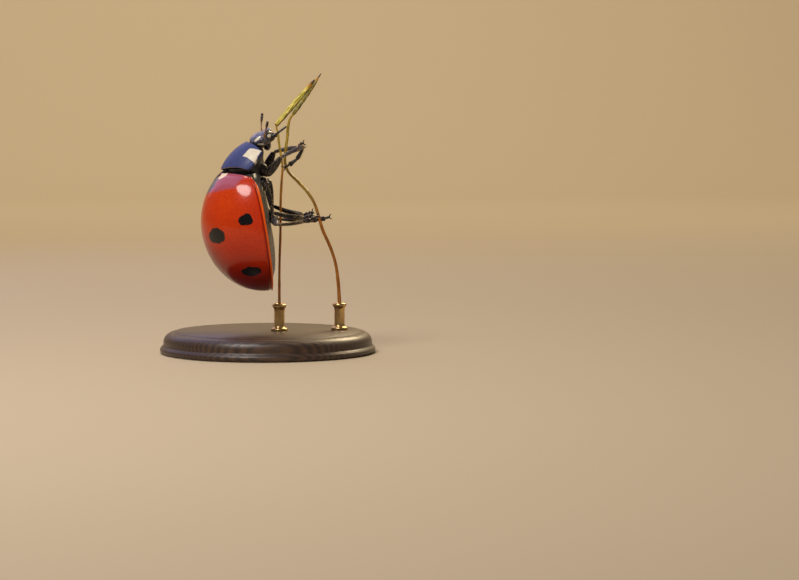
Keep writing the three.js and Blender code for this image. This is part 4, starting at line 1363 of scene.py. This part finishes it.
brass = brass_finish()
for rod_name in ("main", "side"):
    low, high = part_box("stand_rod_" + rod_name)
    centre = ((low.x + high.x) / 2 / MM, (low.y + high.y) / 2 / MM)
    radius, top = (high.x - low.x) / 2 / MM, high.z / MM
    rod_profile = np.concatenate([
        [[0.05, BASE_TOP - 0.05], [radius, BASE_TOP - 0.05], [radius, BASE_TOP + 0.06]],
        arc(radius - 0.07, BASE_TOP + 0.07, 0.07, 0, 90, 8),
        [[0.29, BASE_TOP + 0.15], [0.25, BASE_TOP + 0.2], [0.24, BASE_TOP + 0.28]],
        [[0.24, top - 0.36], [0.255, top - 0.3]],
        arc(0.23, top - 0.11, 0.1, -75, 75, 10),
        [[0.24, top], [0.14, top], [0.12, top - 0.04], [0.05, top - 0.05]],
    ])
    rod = make_piece("brass_rod_" + rod_name, [turned(rod_profile, centre, 64)], brass)
    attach(rod, "root")
    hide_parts("stand_rod_" + rod_name)

# ---- Studio -------------------------------------------------------------------------------------
# A pale floor curves up behind. A round key light and a broad blue-violet one hang above on the left,
# a soft fill comes from the camera's side and a warm light from behind on the right, and a wash falls
# on the floor alone. The camera looks at the beetle's right side from a little above.


def sweep(half=0.4, front=-0.25, back=0.25, bend=0.12, height=0.5, columns=2, rows=60):
    """The floor: flat from front to back, then a quarter circle up to a wall, as rows of points."""
    flat = np.linspace(front, back, rows // 3)
    angle = np.linspace(0, np.pi / 2, rows // 3)
    wall = np.linspace(bend, height, rows // 3)
    y = np.concatenate([flat, back + bend * np.sin(angle), np.full(rows // 3, back + bend)])
    z = np.concatenate([0 * flat, bend * (1 - np.cos(angle)), wall])
    x = np.linspace(-half, half, columns)
    points = np.stack(np.broadcast_arrays(x[None], y[:, None], z[:, None]), -1)
    index = np.arange(points.shape[0] * columns).reshape(-1, columns)
    faces = np.stack([index[:-1, :-1], index[:-1, 1:], index[1:, 1:], index[1:, :-1]], -1)
    mesh = bpy.data.meshes.new("floor")
    mesh.from_pydata(points.reshape(-1, 3).tolist(), [], faces.reshape(-1, 4).tolist())
    mesh.polygons.foreach_set("use_smooth", np.ones(len(mesh.polygons), bool))
    floor = bpy.data.objects.new("floor", mesh)
    bpy.context.scene.collection.objects.link(floor)
    return floor


floor = sweep()
floor_paint, floor_shader, _ = horn("floor_paint", 0.8)
floor_shader.inputs["Base Color"].default_value = (0.5, 0.4, 0.27, 1)
floor.data.materials.append(floor_paint)


def soft_light(name, place, wide, high, power, colour, aim=BODY_CENTRE, along=(1, 2, 9), mirrored=True):
    """A round or oblong soft light at a place in millimetres, turned towards the beetle or another aim
    with its wide side along a direction. One that isn't mirrored doesn't show as a patch of gloss."""
    data = bpy.data.lights.new(name, "AREA")
    data.shape = "DISK" if wide == high else "RECTANGLE"
    data.size, data.size_y = wide * MM, high * MM
    data.energy = power
    data.color = colour
    light = bpy.data.objects.new(name, data)
    light.location = np.array(place) * MM
    light.rotation_mode = "QUATERNION"
    back = direction(np.array(place) - np.array(aim))
    wide_way = direction(np.array(along) - np.dot(along, back) * back)
    axes = np.stack([wide_way, np.cross(back, wide_way), back], 1)
    light.rotation_quaternion = Matrix(axes.tolist()).to_quaternion()
    light.visible_glossy = mirrored
    bpy.context.scene.collection.objects.link(light)
    return light


soft_light("key", (-30, -36, 64), 32, 32, 0.039, (1.0, 0.95, 0.9))
soft_light("sky", (-31.6, 41.9, 65.4), 95, 66, 0.019, (0.5, 0.52, 1.0), along=(0.13, -0.94, 0.275))
soft_light("fill", (-20, -110, 30), 60, 60, 0.014, (1.0, 0.93, 0.86), mirrored=False)
warm_back = soft_light("warm_back", (42, 44, 52), 30, 30, 0.05, (1.0, 0.8, 0.5))
high_wall = (0, 370, 120)
wash = soft_light("wash", (0, 120, 330), 200, 200, 1.3, (1.0, 0.9, 0.72), high_wall, mirrored=False)
wash_reach = bpy.data.collections.new("backdrop_only")
wash_reach.objects.link(floor)
wash.light_linking.receiver_collection = wash_reach
back_reach = bpy.data.collections.new("all_but_the_backdrop")
back_reach.objects.link(floor)
back_reach.collection_objects[0].light_linking.link_state = "EXCLUDE"
warm_back.light_linking.receiver_collection = back_reach

world = bpy.data.worlds.new("studio")
world.use_nodes = True
surroundings = world.node_tree.nodes["Background"].inputs
surroundings["Color"].default_value = (1.0, 0.93, 0.84, 1)
surroundings["Strength"].default_value = 0.14
bpy.context.scene.world = world
bpy.context.scene.view_settings.view_transform = "Standard"

CAMERA_AZIMUTH, CAMERA_HEIGHT = math.radians(-6), math.radians(4)
CAMERA_DISTANCE = 103.2
AIM_RIGHT, AIM_UP = 6.116, 2.884  # the middle of the picture, from the part's origin
camera_right = np.array([math.cos(CAMERA_AZIMUTH), math.sin(CAMERA_AZIMUTH), 0])
camera_back = np.array([
    math.sin(CAMERA_AZIMUTH) * math.cos(CAMERA_HEIGHT),
    -math.cos(CAMERA_AZIMUTH) * math.cos(CAMERA_HEIGHT),
    math.sin(CAMERA_HEIGHT),
])
camera_up = np.cross(camera_back, camera_right)
target = AIM_RIGHT * camera_right + AIM_UP * camera_up
lens = bpy.data.cameras.new("camera")
lens.lens = 100
lens.sensor_width = 36
lens.clip_start = 0.001
lens.clip_end = 10
camera = bpy.data.objects.new("camera", lens)
camera.location = (target + camera_back * CAMERA_DISTANCE) * MM
camera.rotation_mode = "QUATERNION"
camera.rotation_quaternion = Vector(-camera_back).to_track_quat("-Z", "Y")
bpy.context.scene.collection.objects.link(camera)
bpy.context.scene.camera = camera
